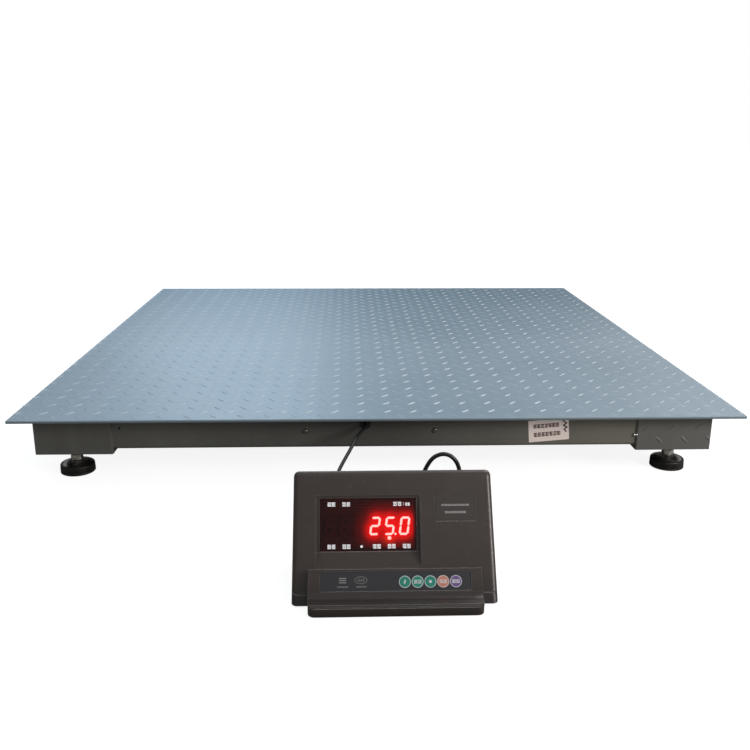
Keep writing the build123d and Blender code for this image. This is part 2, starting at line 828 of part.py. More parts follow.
board_y = jbox_back - JUNCTION_BOARD_FROM_LID
parts_y = board_y + BOARD_THICKNESS
junction_board = block(
    jbox_left + JUNCTION_BOARD_INSET,
    jbox_right - JUNCTION_BOARD_INSET,
    board_y,
    parts_y,
    JBOX_BOTTOM + JBOX_WALL,
    JBOX_TOP - JBOX_WALL,
)
terminal_bottom = JBOX_BOTTOM + TERMINAL_ROW_BOTTOM
for index in range(TERMINAL_ROW_COUNT):
    terminal_x = jbox_left + TERMINAL_ROW_START + index * TERMINAL_ROW_SPACING
    terminal = block(
        terminal_x - TERMINAL_ROW_LENGTH / 2,
        terminal_x + TERMINAL_ROW_LENGTH / 2,
        parts_y,
        board_y + TERMINAL_ROW_DEPTH,
        terminal_bottom,
        terminal_bottom + TERMINAL_ROW_HEIGHT,
    )
    for pole in range(POLE_COUNT):
        terminal -= rod(
            terminal_x + (pole - (POLE_COUNT - 1) / 2) * POLE_SPACING,
            (parts_y + board_y + TERMINAL_ROW_DEPTH) / 2,
            terminal_bottom + TERMINAL_ROW_HEIGHT / 2,
            terminal_bottom + TERMINAL_ROW_HEIGHT + 1,
            POLE_DIAMETER,
        )
    junction_board += terminal
for index in range(TRIMMER_COUNT):
    trimmer_x = jbox_left + TRIMMER_START + index * TERMINAL_ROW_SPACING
    junction_board += block(
        trimmer_x - TRIMMER_LENGTH / 2,
        trimmer_x + TRIMMER_LENGTH / 2,
        parts_y,
        board_y + TRIMMER_DEPTH,
        JBOX_TOP - TRIMMER_TOP - TRIMMER_HEIGHT,
        JBOX_TOP - TRIMMER_TOP,
    )
save_frame("junction_board", junction_board)


def gland(mouth, direction, thickness):
    """A cable gland: collar against the wall at mouth, dome nut outward, thread inward."""
    plane = Plane(origin=mouth, z_dir=direction)
    inner_end = -thickness - GLAND_NUT_THICKNESS
    collar = extrude(RegularPolygon(GLAND_NUT_RADIUS, 6), GLAND_COLLAR)
    dome = Pos(0, 0, GLAND_COLLAR) * Cone(
        *GLAND_DOME, align=(Align.CENTER, Align.CENTER, Align.MIN)
    )
    thread_part = Pos(0, 0, inner_end) * Cylinder(
        GLAND_THREAD_DIAMETER / 2, -inner_end, align=(Align.CENTER, Align.CENTER, Align.MIN)
    )
    inner_nut = Pos(0, 0, inner_end) * extrude(
        RegularPolygon(GLAND_NUT_RADIUS, 6), GLAND_NUT_THICKNESS
    )
    bore = Pos(0, 0, inner_end - 1) * Cylinder(
        CABLE_DIAMETER / 2, thickness + 20, align=(Align.CENTER, Align.CENTER, Align.MIN)
    )
    return plane * (collar + dome + thread_part + inner_nut - bore)


glands = []
for gland_y in gland_ys:
    glands.append(gland((jbox_left, gland_y, CABLE_HEIGHT), (-1, 0, 0), JBOX_WALL))
    glands.append(gland((jbox_right, gland_y, CABLE_HEIGHT), (1, 0, 0), JBOX_WALL))
grommet = Plane(
    origin=(CABLE_EXIT_X, -BEAM_OUTER - GROMMET_FLANGE, CABLE_EXIT_HEIGHT), z_dir=(0, 1, 0)
) * (
    extrude(Circle(GROMMET_FLANGE_DIAMETER / 2), GROMMET_FLANGE)
    + extrude(Circle(GROMMET_DIAMETER / 2), GROMMET_FLANGE + SHEET)
    + extrude(
        Circle(GROMMET_NECK_DIAMETER / 2), GROMMET_FLANGE + SHEET + EAR_THICKNESS + JBOX_WALL
    )
    - extrude(Circle(SIGNAL_CABLE_DIAMETER / 2), 30)
)
glands.append(grommet)
save_frame("cable_glands", Compound(children=[s for g in glands for s in g.solids()]))

cell_cables = []
for side in (-1, 1):
    wall_x = jbox_left if side < 0 else jbox_right
    start_x = side * cable_x
    gland_x = wall_x - side * CABLE_INTO_GLAND

    run_y = -BOX_INNER_Y + FRONT_RUN_GAP
    turn_x = wall_x + side * FRONT_RUN_TURN
    front_points = [
        (start_x, -CELL_INNER_END - CABLE_INTO_CELL, CABLE_HEIGHT),
        (start_x, run_y, CABLE_HEIGHT),
        (turn_x, run_y, CABLE_HEIGHT),
        (turn_x, gland_front_y, CABLE_HEIGHT),
        (gland_x, gland_front_y, CABLE_HEIGHT),
    ]

    run_y = -BOX_INNER_Y + REAR_RUN_GAP
    turn_x = wall_x + side * REAR_RUN_TURN
    side_run_x = side * (BOX_INNER_X + SIDE_RUN_GAP)
    rear_points = [
        (start_x, CELL_INNER_END + CABLE_INTO_CELL, CABLE_HEIGHT),
        (start_x, BOX_INNER_Y - REAR_RUN_START, CABLE_HEIGHT),
        (side_run_x, BOX_INNER_Y - REAR_RUN_START, CABLE_HEIGHT),
        (side_run_x, run_y, CABLE_HEIGHT),
        (turn_x, run_y, CABLE_HEIGHT),
        (turn_x, gland_rear_y, CABLE_HEIGHT),
        (gland_x, gland_rear_y, CABLE_HEIGHT),
    ]
    for points in (front_points, rear_points):
        cell_cables.append(tube_along(FilletPolyline(*points, radius=CABLE_BEND), CABLE_DIAMETER))
save_frame(
    "load_cell_cables",
    Compound(children=[s for c in cell_cables for s in c.solids()]),
)

frame_screws = []
for screw_x in screw_xs:
    frame_screws.append(
        pan_screw(
            (screw_x, -BEAM_OUTER, FRAME_SCREW_HEIGHT),
            (0, 1, 0),
            FRAME_SCREW_LENGTH,
            M4,
            M4_HEAD_DIAMETER,
            M4_HEAD_HEIGHT,
        )
    )
    nut = extrude(RegularPolygon(M4_NUT_RADIUS, 6) - Circle(M4 / 2), M4_NUT_HEIGHT)
    frame_screws.append(
        Plane(
            origin=(screw_x, jbox_front, FRAME_SCREW_HEIGHT),
            z_dir=(0, 1, 0),
        )
        * nut
    )
for screw_x in lid_screw_xs:
    for height in lid_screw_heights:
        frame_screws.append(
            pan_screw(
                (screw_x, jbox_back + JBOX_LID, height),
                (0, -1, 0),
                LID_SCREW_LENGTH,
                M3,
                M3_HEAD_DIAMETER,
                M3_HEAD_HEIGHT,
            )
        )
save_frame("frame_screws", Compound(children=[s for f in frame_screws for s in f.solids()]))

# ---------------------------------------------------------------- indicator case
FACE_SLOPE = radians(FACE_ANGLE)
UP_THE_FACE = (cos(FACE_SLOPE), sin(FACE_SLOPE))
INTO_THE_FACE = (sin(FACE_SLOPE), -cos(FACE_SLOPE))


def on_face(height):
    """The Y of the sloped face at a height."""
    return FACE_FRONT + (height - CASE_BOTTOM) * UP_THE_FACE[0] / UP_THE_FACE[1]


def sloped_plane(y, height, angle):
    """A plane facing forward and up; its X is the indicator's X, its Y runs up the slope."""
    return Plane(
        origin=(0, y, height),
        x_dir=(1, 0, 0),
        z_dir=(0, -sin(radians(angle)), cos(radians(angle))),
    )


FACE_PLANE = sloped_plane(
    on_face((NAMEPLATE_BOTTOM + NAMEPLATE_TOP) / 2),
    (NAMEPLATE_BOTTOM + NAMEPLATE_TOP) / 2,
    FACE_ANGLE,
)
KEYPAD_PLANE = sloped_plane(
    KEYPAD_TOP_Y - OVERLAY_FROM_TOP * UP_THE_FACE[0],
    KEYPAD_TOP_HEIGHT - OVERLAY_FROM_TOP * UP_THE_FACE[1],
    FACE_ANGLE,
)
WINDOW_LENGTH = hypot(
    WINDOW_TOP_Y - WINDOW_BOTTOM_Y, WINDOW_TOP_HEIGHT - WINDOW_BOTTOM_HEIGHT
)
WINDOW_ANGLE = degrees(
    atan2(WINDOW_TOP_HEIGHT - WINDOW_BOTTOM_HEIGHT, WINDOW_TOP_Y - WINDOW_BOTTOM_Y)
)
WINDOW_PLANE = sloped_plane(
    (WINDOW_TOP_Y + WINDOW_BOTTOM_Y) / 2,
    (WINDOW_TOP_HEIGHT + WINDOW_BOTTOM_HEIGHT) / 2,
    WINDOW_ANGLE,
)
WINDOW_X = (WINDOW_LEFT + WINDOW_RIGHT) / 2
WINDOW_WIDTH = WINDOW_RIGHT - WINDOW_LEFT
WINDOW_HEIGHT = WINDOW_LENGTH - 1.4


def slab(plane, x, y, width, height, z0, z1, corner=0):
    """A plate lying on a sloped plane, from depth z0 to depth z1."""
    outline = RectangleRounded(width, height, corner) if corner else Rectangle(width, height)
    return plane * (Pos(x, y, z0) * extrude(outline, z1 - z0))


def peg(plane, x, y, z0, z1, diameter):
    """A round peg or bore square to a sloped plane."""
    return plane * (Pos(x, y, z0) * extrude(Circle(diameter / 2), z1 - z0))


def along_x(sketch, half_width, centre=CASE_X):
    """Extrude a side-view outline to both sides of a centre."""
    return Pos(centre, 0, 0) * extrude(Plane.YZ * sketch, half_width, both=True)


def case_body(inset):
    """The main wedge of the case, every face moved inward by the inset."""
    side_view = Polygon(
        (FACE_FRONT, CASE_BOTTOM),
        (FACE_TOP, FACE_TOP_HEIGHT),
        (CASE_REAR, CASE_REAR_HEIGHT),
        (CASE_REAR, CASE_BOTTOM),
        align=None,
    )
    front_view = Polygon(
        (-CASE_HALF_WIDTH, CASE_BOTTOM),
        (CASE_HALF_WIDTH, CASE_BOTTOM),
        (CASE_HALF_WIDTH_TOP, FACE_TOP_HEIGHT),
        (-CASE_HALF_WIDTH_TOP, FACE_TOP_HEIGHT),
        align=None,
    )
    if inset:
        side_view = offset(side_view, -inset, kind=Kind.INTERSECTION)
        front_view = offset(front_view, -inset, kind=Kind.INTERSECTION)
    ridge = side_view.vertices().sort_by(Axis.Y)[-1]
    side_view = fillet(ridge, RIDGE_RADIUS - inset)
    rear_edge = side_view.vertices().group_by(Axis.X)[-1].sort_by(Axis.Y)[-1]
    side_view = fillet(rear_edge, REAR_EDGE_RADIUS - inset)
    wedge = along_x(side_view, CASE_HALF_WIDTH + 1)
    depth = CASE_REAR - LIP_FRONT + 20
    cutter = Pos(CASE_X, CASE_REAR + 10, 0) * extrude(Plane.XZ * front_view, depth)
    wedge = wedge & cutter
    left = wedge.faces().sort_by(Axis.X)[0]
    right = wedge.faces().sort_by(Axis.X)[-1]
    rim = [e for e in left.edges() + right.edges() if e.center().Z > CASE_BOTTOM + inset + 0.1]
    return fillet(rim, CASE_EDGE_RADIUS - inset)


PAD_LOW = (
    KEYPAD_TOP_Y - KEYPAD_LENGTH * UP_THE_FACE[0],
    KEYPAD_TOP_HEIGHT - KEYPAD_LENGTH * UP_THE_FACE[1],
)


def case_block(inset):
    """The proud keypad block with its concave sweep and front lip, moved inward by the inset."""
    overlap = 3 * KEYPAD_PROUD
    lip_bottom = (LIP_FRONT, CASE_BOTTOM)
    lip_top = (LIP_FRONT, SHELF_HEIGHT - 2)
    shelf_front = (LIP_FRONT + 2, SHELF_HEIGHT)
    shelf_back = (SHELF_BACK, SHELF_HEIGHT)
    pad_top = (KEYPAD_TOP_Y, KEYPAD_TOP_HEIGHT)
    buried = (
        KEYPAD_TOP_Y + overlap * INTO_THE_FACE[0],
        KEYPAD_TOP_HEIGHT + overlap * INTO_THE_FACE[1],
    )
    sag = (
        (SHELF_BACK + PAD_LOW[0]) / 2 + 1.9,
        (SHELF_HEIGHT + PAD_LOW[1]) / 2 - 1.1,
    )
    outline = (
        Polyline(lip_bottom, lip_top, shelf_front, shelf_back)
        + ThreePointArc(shelf_back, sag, PAD_LOW)
        + Polyline(PAD_LOW, pad_top, buried, (buried[0], CASE_BOTTOM), lip_bottom)
    )
    side_view = make_face(outline)
    if inset:
        side_view = offset(side_view, -inset, kind=Kind.INTERSECTION)
    solid = along_x(side_view, BLOCK_HALF_WIDTH - inset)
    corners = solid.edges().filter_by(Axis.Z).group_by(Axis.Y)[0]
    return fillet(corners, LIP_CORNER_RADIUS - inset)


outer = case_body(0) + case_block(0)
cavity = case_body(CASE_WALL) + case_block(CASE_WALL)

# The window recess is 1.5 mm deep at its top and 10 mm deep at the window's foot
recess_view = Polygon(
    (on_face(RECESS_TOP_HEIGHT), RECESS_TOP_HEIGHT),
    (WINDOW_TOP_Y, WINDOW_TOP_HEIGHT),
    (WINDOW_BOTTOM_Y, WINDOW_BOTTOM_HEIGHT),
    (on_face(LEDGE_END), LEDGE_END),
    (
        on_face(LEDGE_END) - RECESS_OVERSHOOT * INTO_THE_FACE[0],
        LEDGE_END - RECESS_OVERSHOOT * INTO_THE_FACE[1],
    ),
    (
        on_face(RECESS_TOP_HEIGHT) - RECESS_OVERSHOOT * INTO_THE_FACE[0],
        RECESS_TOP_HEIGHT - RECESS_OVERSHOOT * INTO_THE_FACE[1],
    ),
    align=None,
)
recess_half = (RECESS_RIGHT - RECESS_LEFT) / 2
recess_x = (RECESS_RIGHT + RECESS_LEFT) / 2
recess = along_x(recess_view, recess_half, recess_x)
tub = along_x(
    offset(recess_view, CASE_WALL, kind=Kind.INTERSECTION), recess_half + CASE_WALL, recess_x
)
tub += slab(
    WINDOW_PLANE, recess_x, 0, 2 * (recess_half + CASE_WALL), WINDOW_LENGTH + 4, -TUB_WALL, 0
)
key_wall = slab(
    KEYPAD_PLANE, OVERLAY_X, 0, OVERLAY_WIDTH + 6, OVERLAY_HEIGHT + 3, -KEY_SLAB, 0
)
cavity -= tub
cavity -= key_wall
shell = outer - cavity

# Screw columns in both halves
columns = Part()
for side in (-1, 1):
    column_x = CASE_X + side * COLUMN_X
    web_xs = sorted((column_x, CASE_X + side * CASE_HALF_WIDTH))
    for column_y in COLUMN_YS:
        columns += rod(column_x, column_y, CASE_BOTTOM, COLUMN_TOP, COLUMN_DIAMETER)
        columns += block(
            web_xs[0],
            web_xs[1],
            column_y - COLUMN_WEB / 2,
            column_y + COLUMN_WEB / 2,
            CASE_BOTTOM,
            COLUMN_TOP,
        )
shell += columns & outer

shell -= recess
shell -= slab(
    WINDOW_PLANE, WINDOW_X, 0, WINDOW_WIDTH, WINDOW_HEIGHT, -WINDOW_THICKNESS, 1
)
shell -= slab(
    WINDOW_PLANE,
    WINDOW_X,
    0,
    WINDOW_WIDTH - 2 * WINDOW_MARGIN,
    WINDOW_HEIGHT - 2 * WINDOW_MARGIN,
    -TUB_WALL - 2,
    1,
)
nameplate_x = (NAMEPLATE_LEFT + NAMEPLATE_RIGHT) / 2
nameplate_width = NAMEPLATE_RIGHT - NAMEPLATE_LEFT
nameplate_height = (NAMEPLATE_TOP - NAMEPLATE_BOTTOM) / UP_THE_FACE[1]
shell -= slab(
    FACE_PLANE, nameplate_x, 0, nameplate_width, nameplate_height, -NAMEPLATE_RECESS, 2, 1
)
shell -= slab(
    KEYPAD_PLANE,
    OVERLAY_X,
    0,
    OVERLAY_WIDTH,
    OVERLAY_HEIGHT,
    -OVERLAY_RECESS,
    2,
    OVERLAY_CORNER,
)
key_xs = [FIRST_KEY_X + KEY_SPACING * index for index in range(KEY_COUNT)]
pocket_floor = KEY_CAP_TOP - KEY_CAP_THICKNESS - KEY_TRAVEL - KEY_FLOOR_GAP
for key_x in key_xs:
    shell -= peg(
        KEYPAD_PLANE, key_x, KEY_ROW_OFFSET, pocket_floor, 1, KEY_DIAMETER + 2 * KEY_GAP
    )
    shell -= peg(
        KEYPAD_PLANE, key_x, KEY_ROW_OFFSET, -KEY_SLAB - 1, 1, KEY_STEM_DIAMETER + 2 * KEY_GAP
    )

# Openings in the back wall
shell -= block(
    PLUG_X - SOCKET_HALF_WIDTH - SOCKET_GAP,
    PLUG_X + SOCKET_HALF_WIDTH + SOCKET_GAP,
    CASE_REAR - WALL_CUT,
    CASE_REAR + 1,
    PLUG_HEIGHT - SOCKET_HALF_HEIGHT - SOCKET_GAP,
    PLUG_HEIGHT + SOCKET_HALF_HEIGHT + SOCKET_GAP,
)
shell -= Plane(origin=(CORD_X, CASE_REAR - WALL_CUT, CORD_HEIGHT), z_dir=(0, 1, 0)) * extrude(
    Circle(RELIEF_NECK_RADIUS), WALL_CUT + 2
)
shell -= block(
    SWITCH_X - SWITCH_OPENING[0] / 2,
    SWITCH_X + SWITCH_OPENING[0] / 2,
    CASE_REAR - WALL_CUT,
    CASE_REAR + 1,
    SWITCH_HEIGHT - SWITCH_OPENING[1] / 2,
    SWITCH_HEIGHT + SWITCH_OPENING[1] / 2,
)
for index in range(VENT_COUNT):
    vent_x = CASE_X + (index - (VENT_COUNT - 1) / 2) * VENT_SPACING
    shell -= block(
        vent_x - VENT_WIDTH / 2,
        vent_x + VENT_WIDTH / 2,
        CASE_REAR - WALL_CUT,
        CASE_REAR + 1,
        VENT_BOTTOM,
        VENT_TOP,
    )

# Screws up through the base into the columns
for column_x in (CASE_X - COLUMN_X, CASE_X + COLUMN_X):
    for column_y in COLUMN_YS:
        shell -= rod(
            column_x, column_y, CASE_BOTTOM - 1, CASE_BOTTOM + SCREW_HEAD_DEPTH, SCREW_HEAD_BORE
        )
        shell -= rod(column_x, column_y, CASE_BOTTOM, COLUMN_TOP - 6, M3)

AROUND_CASE = (-200, 200, LIP_FRONT - 10, CASE_REAR + 10)
front_case = shell & block(*AROUND_CASE, PARTING, FACE_TOP_HEIGHT + 10)
base_case = shell & block(*AROUND_CASE, CASE_BOTTOM - 5, PARTING)

# The shadow line where the two halves meet
groove_cutter = block(*AROUND_CASE, PARTING - PARTING_GROOVE, PARTING) - (
    case_body(PARTING_GROOVE) + case_block(PARTING_GROOVE)
)
base_case -= groove_cutter
save("indicator_front_case", front_case)
save("indicator_base_case", base_case)

rubber_feet = []
for foot_x in (CASE_X - FOOT_PAD_SPREAD, CASE_X + FOOT_PAD_SPREAD):
    for foot_y in FOOT_PAD_YS:
        rubber_feet.append(rod(foot_x, foot_y, 0, CASE_BOTTOM, FOOT_PAD_DIAMETER))
save("indicator_rubber_feet", Compound(children=rubber_feet))

case_screws = []
for column_x in (CASE_X - COLUMN_X, CASE_X + COLUMN_X):
    for column_y in COLUMN_YS:
        case_screws.append(
            pan_screw(
                (column_x, column_y, CASE_BOTTOM + SCREW_HEAD_DEPTH),
                (0, 0, 1),
                CASE_SCREW_LENGTH,
                M3,
                M3_HEAD_DIAMETER,
                M3_HEAD_HEIGHT,
            )
        )
save("indicator_case_screws", Compound(children=case_screws))

# ---------------------------------------------------------------- display
window = slab(
    WINDOW_PLANE, WINDOW_X, 0, WINDOW_WIDTH, WINDOW_HEIGHT, -WINDOW_THICKNESS, 0
)
window = chamfer(window.faces().sort_by(Axis.Y)[0].edges(), 0.3)
save("indicator_display_window", window)

digit_xs = [LAST_DIGIT_X - DIGIT_PITCH * index for index in range(DIGIT_COUNT)]
segment = SlotOverall(DIGIT_HEIGHT / 2 - SEGMENT_GAP, SEGMENT_WIDTH)
half_h = DIGIT_HEIGHT / 2 - SEGMENT_WIDTH / 2
half_w = DIGIT_WIDTH / 2 - SEGMENT_WIDTH / 2
spots = [
    (0, half_h, 0),
    (0, 0, 0),
    (0, -half_h, 0),
    (half_w, half_h / 2, 90),
    (half_w, -half_h / 2, 90),
    (-half_w, half_h / 2, 90),
    (-half_w, -half_h / 2, 90),
]
digits = []
for digit_x in digit_xs:
    module = slab(
        WINDOW_PLANE,
        digit_x,
        DIGIT_ROW_OFFSET,
        DIGIT_PITCH - MODULE_GAP,
        DIGIT_HEIGHT + 3,
        DIGIT_FRONT - MODULE_DEPTH,
        MODULE_FRONT,
    )
    for across, up, turn in spots:
        shift = up * sin(radians(DIGIT_SLANT)) / cos(radians(DIGIT_SLANT))
        bar_turn = 90 - DIGIT_SLANT if turn else 0
        bar = Pos(
            digit_x + across + shift, DIGIT_ROW_OFFSET + up, DIGIT_FRONT - SEGMENT_THICKNESS
        ) * (Rot(0, 0, bar_turn) * extrude(segment, SEGMENT_THICKNESS))
        module += WINDOW_PLANE * bar
    dot_x = digit_x + DIGIT_WIDTH / 2 + DOT_GAP - half_h * sin(radians(DIGIT_SLANT))
    module += peg(
        WINDOW_PLANE,
        dot_x,
        DIGIT_ROW_OFFSET - half_h,
        DIGIT_FRONT - SEGMENT_THICKNESS,
        DIGIT_FRONT,
        DOT_DIAMETER,
    )
    digits += module.solids()
lamp = peg(
    WINDOW_PLANE,
    LAMP_X,
    LAMP_ROW_OFFSET,
    DIGIT_FRONT - MODULE_DEPTH,
    DIGIT_FRONT,
    LAMP_DIAMETER,
)
digits += lamp.solids()
save("indicator_led_digits", Compound(children=digits))

board_front = DIGIT_FRONT - MODULE_DEPTH
board_back = board_front - BOARD_THICKNESS
display_board = slab(
    WINDOW_PLANE, WINDOW_X, 0, WINDOW_WIDTH - 4, WINDOW_HEIGHT - 8, board_back, board_front
)
for chip_x in DRIVER_CHIP_XS:
    display_board += slab(
        WINDOW_PLANE,
        chip_x,
        DRIVER_CHIP_OFFSET,
        DRIVER_CHIP_LENGTH,
        DRIVER_CHIP_WIDTH,
        board_back - DRIVER_CHIP_HEIGHT,
        board_back,
    )
save("indicator_display_board", display_board)

# ---------------------------------------------------------------- keypad
overlay = slab(
    KEYPAD_PLANE,
    OVERLAY_X,
    0,
    OVERLAY_WIDTH,
    OVERLAY_HEIGHT,
    -OVERLAY_RECESS,
    -OVERLAY_RECESS + OVERLAY_THICKNESS,
    OVERLAY_CORNER,
)
for key_x in key_xs:
    overlay -= peg(
        KEYPAD_PLANE, key_x, KEY_ROW_OFFSET, -3, 1, KEY_DIAMETER + 2 * KEY_GAP
    )
save("indicator_keypad_overlay", overlay)

cap_bottom = KEY_CAP_TOP - KEY_CAP_THICKNESS
head_top = -KEY_SLAB - KEY_HEAD_GAP
head_bottom = head_top - KEY_HEAD_THICKNESS
for index, key_x in enumerate(key_xs):
    key = peg(KEYPAD_PLANE, key_x, KEY_ROW_OFFSET, cap_bottom, KEY_CAP_TOP, KEY_DIAMETER)
    key = chamfer(key.edges().sort_by(Axis.Y)[0], KEY_CHAMFER)
    key += peg(
        KEYPAD_PLANE, key_x, KEY_ROW_OFFSET, head_bottom, cap_bottom + 0.5, KEY_STEM_DIAMETER
    )
    key += peg(
        KEYPAD_PLANE, key_x, KEY_ROW_OFFSET, head_bottom, head_top, KEY_HEAD_DIAMETER
    )
    save("indicator_key_" + str(index + 1), key)

switch_top = head_bottom - KEY_TRAVEL - KEY_HEAD_GAP
key_board_front = switch_top - TACT_SWITCH_HEIGHT
key_board = slab(
    KEYPAD_PLANE,
    key_xs[2],
    KEY_ROW_OFFSET,
    KEY_SPACING * KEY_COUNT + 8,
    KEY_BOARD_HEIGHT,
    key_board_front - BOARD_THICKNESS,
    key_board_front,
)
for key_x in key_xs:
    key_board += slab(
        KEYPAD_PLANE,
        key_x,
        KEY_ROW_OFFSET,
        TACT_SWITCH_SIDE,
        TACT_SWITCH_SIDE,
        key_board_front,
        switch_top - TACT_BUTTON_HEIGHT,
    )
    key_board += peg(
        KEYPAD_PLANE, key_x, KEY_ROW_OFFSET, key_board_front, switch_top, TACT_BUTTON_DIAMETER
    )
save("indicator_key_board", key_board)

# ---------------------------------------------------------------- inside the case
floor_top = CASE_BOTTOM + CASE_WALL
board_top = MAIN_BOARD_HEIGHT + BOARD_THICKNESS
main_board = block(
    MAIN_BOARD_LEFT,
    MAIN_BOARD_RIGHT,
    MAIN_BOARD_FRONT,
    MAIN_BOARD_REAR,
    MAIN_BOARD_HEIGHT,
    board_top,
)
for post_x in (MAIN_BOARD_LEFT + BOARD_POST_INSET, MAIN_BOARD_RIGHT - BOARD_POST_INSET):
    for post_y in (MAIN_BOARD_FRONT + BOARD_POST_INSET, MAIN_BOARD_REAR - BOARD_POST_INSET):
        main_board += rod(
            post_x, post_y, floor_top, MAIN_BOARD_HEIGHT + 0.5, BOARD_POST_DIAMETER
        )
for chip_x, chip_y, length, width, height in MAIN_BOARD_CHIPS:
    main_board += block(
        chip_x - length / 2,
        chip_x + length / 2,
        chip_y - width / 2,
        chip_y + width / 2,
        board_top,
        board_top + height,
    )
for can_x in CAPACITOR_XS:
    main_board += rod(
        can_x, CAPACITOR_Y, board_top, board_top + CAPACITOR_HEIGHT, CAPACITOR_DIAMETER
    )
save("indicator_main_board", main_board)

battery_right = BATTERY_LEFT + BATTERY_LENGTH
battery_top = floor_top + BATTERY_HEIGHT
battery = block(
    BATTERY_LEFT,
    battery_right,
    BATTERY_FRONT,
    BATTERY_FRONT + BATTERY_DEPTH,
    floor_top,
    battery_top,
)
battery = fillet(battery.edges().filter_by(Axis.Z), BATTERY_CORNER)
battery += block(
    BATTERY_LEFT + BATTERY_LID_INSET,
    battery_right - BATTERY_LID_INSET,
    BATTERY_FRONT + BATTERY_LID_INSET,
    BATTERY_FRONT + BATTERY_DEPTH - BATTERY_LID_INSET,
    battery_top,
    battery_top + BATTERY_LID_THICKNESS,
)
for terminal_x in (BATTERY_LEFT + TERMINAL_INSET, battery_right - TERMINAL_INSET):
    battery += block(
        terminal_x - TERMINAL_WIDTH / 2,
        terminal_x + TERMINAL_WIDTH / 2,
        TERMINAL_Y,
        TERMINAL_Y + TERMINAL_THICKNESS,
        battery_top + BATTERY_LID_THICKNESS,
        battery_top + BATTERY_LID_THICKNESS + TERMINAL_HEIGHT,
    )
save("indicator_battery", battery)


def centred(x, y, length, width, z0, z1):
    """A block centred on a point in plan."""
    return block(x - length / 2, x + length / 2, y - width / 2, y + width / 2, z0, z1)


core_top = floor_top + CORE_HEIGHT
transformer = centred(
    TRANSFORMER_X, TRANSFORMER_Y, CORE_LENGTH, CORE_THICKNESS, floor_top, core_top
)
transformer += centred(
    TRANSFORMER_X,
    TRANSFORMER_Y,
    COIL_LENGTH,
    COIL_DEPTH,
    floor_top + COIL_INSET,
    core_top - COIL_INSET,
)
transformer += centred(
    TRANSFORMER_X,
    TRANSFORMER_Y,
    STRAP_LENGTH,
    STRAP_WIDTH,
    floor_top,
    floor_top + STRAP_THICKNESS,
)
save("indicator_transformer", transformer)

# ---------------------------------------------------------------- rocker switch
pivot_y = CASE_REAR - ROCKER_PIVOT_DEPTH
switch_body = block(
    SWITCH_X - SWITCH_BEZEL[0] / 2,
    SWITCH_X + SWITCH_BEZEL[0] / 2,
    CASE_REAR,
    CASE_REAR + SWITCH_BEZEL_THICKNESS,
    SWITCH_HEIGHT - SWITCH_BEZEL[1] / 2,
    SWITCH_HEIGHT + SWITCH_BEZEL[1] / 2,
)
switch_body = fillet(switch_body.edges().filter_by(Axis.Y), SWITCH_BEZEL_CORNER)
switch_body += block(
    SWITCH_X - SWITCH_OPENING[0] / 2,
    SWITCH_X + SWITCH_OPENING[0] / 2,
    CASE_REAR - SWITCH_DEPTH,
    CASE_REAR,
    SWITCH_HEIGHT - SWITCH_OPENING[1] / 2,
    SWITCH_HEIGHT + SWITCH_OPENING[1] / 2,
)
switch_body -= block(
    SWITCH_X - ROCKER_WIDTH / 2 - ROCKER_SIDE_GAP,
    SWITCH_X + ROCKER_WIDTH / 2 + ROCKER_SIDE_GAP,
    pivot_y - ROCKER_RADIUS - 0.5,
    CASE_REAR + 5,
    SWITCH_HEIGHT - ROCKER_RADIUS - ROCKER_END_GAP,
    SWITCH_HEIGHT + ROCKER_RADIUS + ROCKER_END_GAP,
)
switch_body -= Plane(
    origin=(SWITCH_X - ROCKER_WIDTH / 2 - 1, pivot_y, SWITCH_HEIGHT), z_dir=(1, 0, 0)
) * extrude(Circle(ROCKER_AXLE / 2 + THREAD_CLEARANCE), ROCKER_WIDTH + 2)
for tab_offset in (-SWITCH_TAB_SPACING, 0, SWITCH_TAB_SPACING):
    switch_body += block(
        SWITCH_X - SWITCH_TAB_WIDTH / 2,
        SWITCH_X + SWITCH_TAB_WIDTH / 2,
        CASE_REAR - SWITCH_DEPTH - SWITCH_TAB_LENGTH,
        CASE_REAR - SWITCH_DEPTH + 0.5,
        SWITCH_HEIGHT + tab_offset - SWITCH_TAB_THICKNESS / 2,
        SWITCH_HEIGHT + tab_offset + SWITCH_TAB_THICKNESS / 2,
    )
save("indicator_switch_body", switch_body)

# Side view of the rocker: round at the back, two faces meeting in a shallow V in front
rocker_view = Circle(ROCKER_RADIUS) & Polygon(
    (-ROCKER_RADIUS, -2 * ROCKER_RADIUS),
    (-ROCKER_RADIUS * 0.35, -2 * ROCKER_RADIUS),
    (ROCKER_FACE_TIP, -ROCKER_RADIUS * 0.95),
    (ROCKER_FACE_MIDDLE, 0),
    (ROCKER_FACE_TIP, ROCKER_RADIUS * 0.95),
    (-ROCKER_RADIUS * 0.35, 2 * ROCKER_RADIUS),
    (-ROCKER_RADIUS, 2 * ROCKER_RADIUS),
    align=None,
)
rocker = extrude(Plane.YZ * rocker_view, ROCKER_WIDTH / 2, both=True)
rocker += Rot(0, 90, 0) * Cylinder(ROCKER_AXLE / 2, ROCKER_WIDTH + ROCKER_AXLE_OVERHANG)
rocker = Pos(SWITCH_X, pivot_y, SWITCH_HEIGHT) * Rot(ROCKER_REST, 0, 0) * rocker
save("indicator_switch_rocker", rocker)

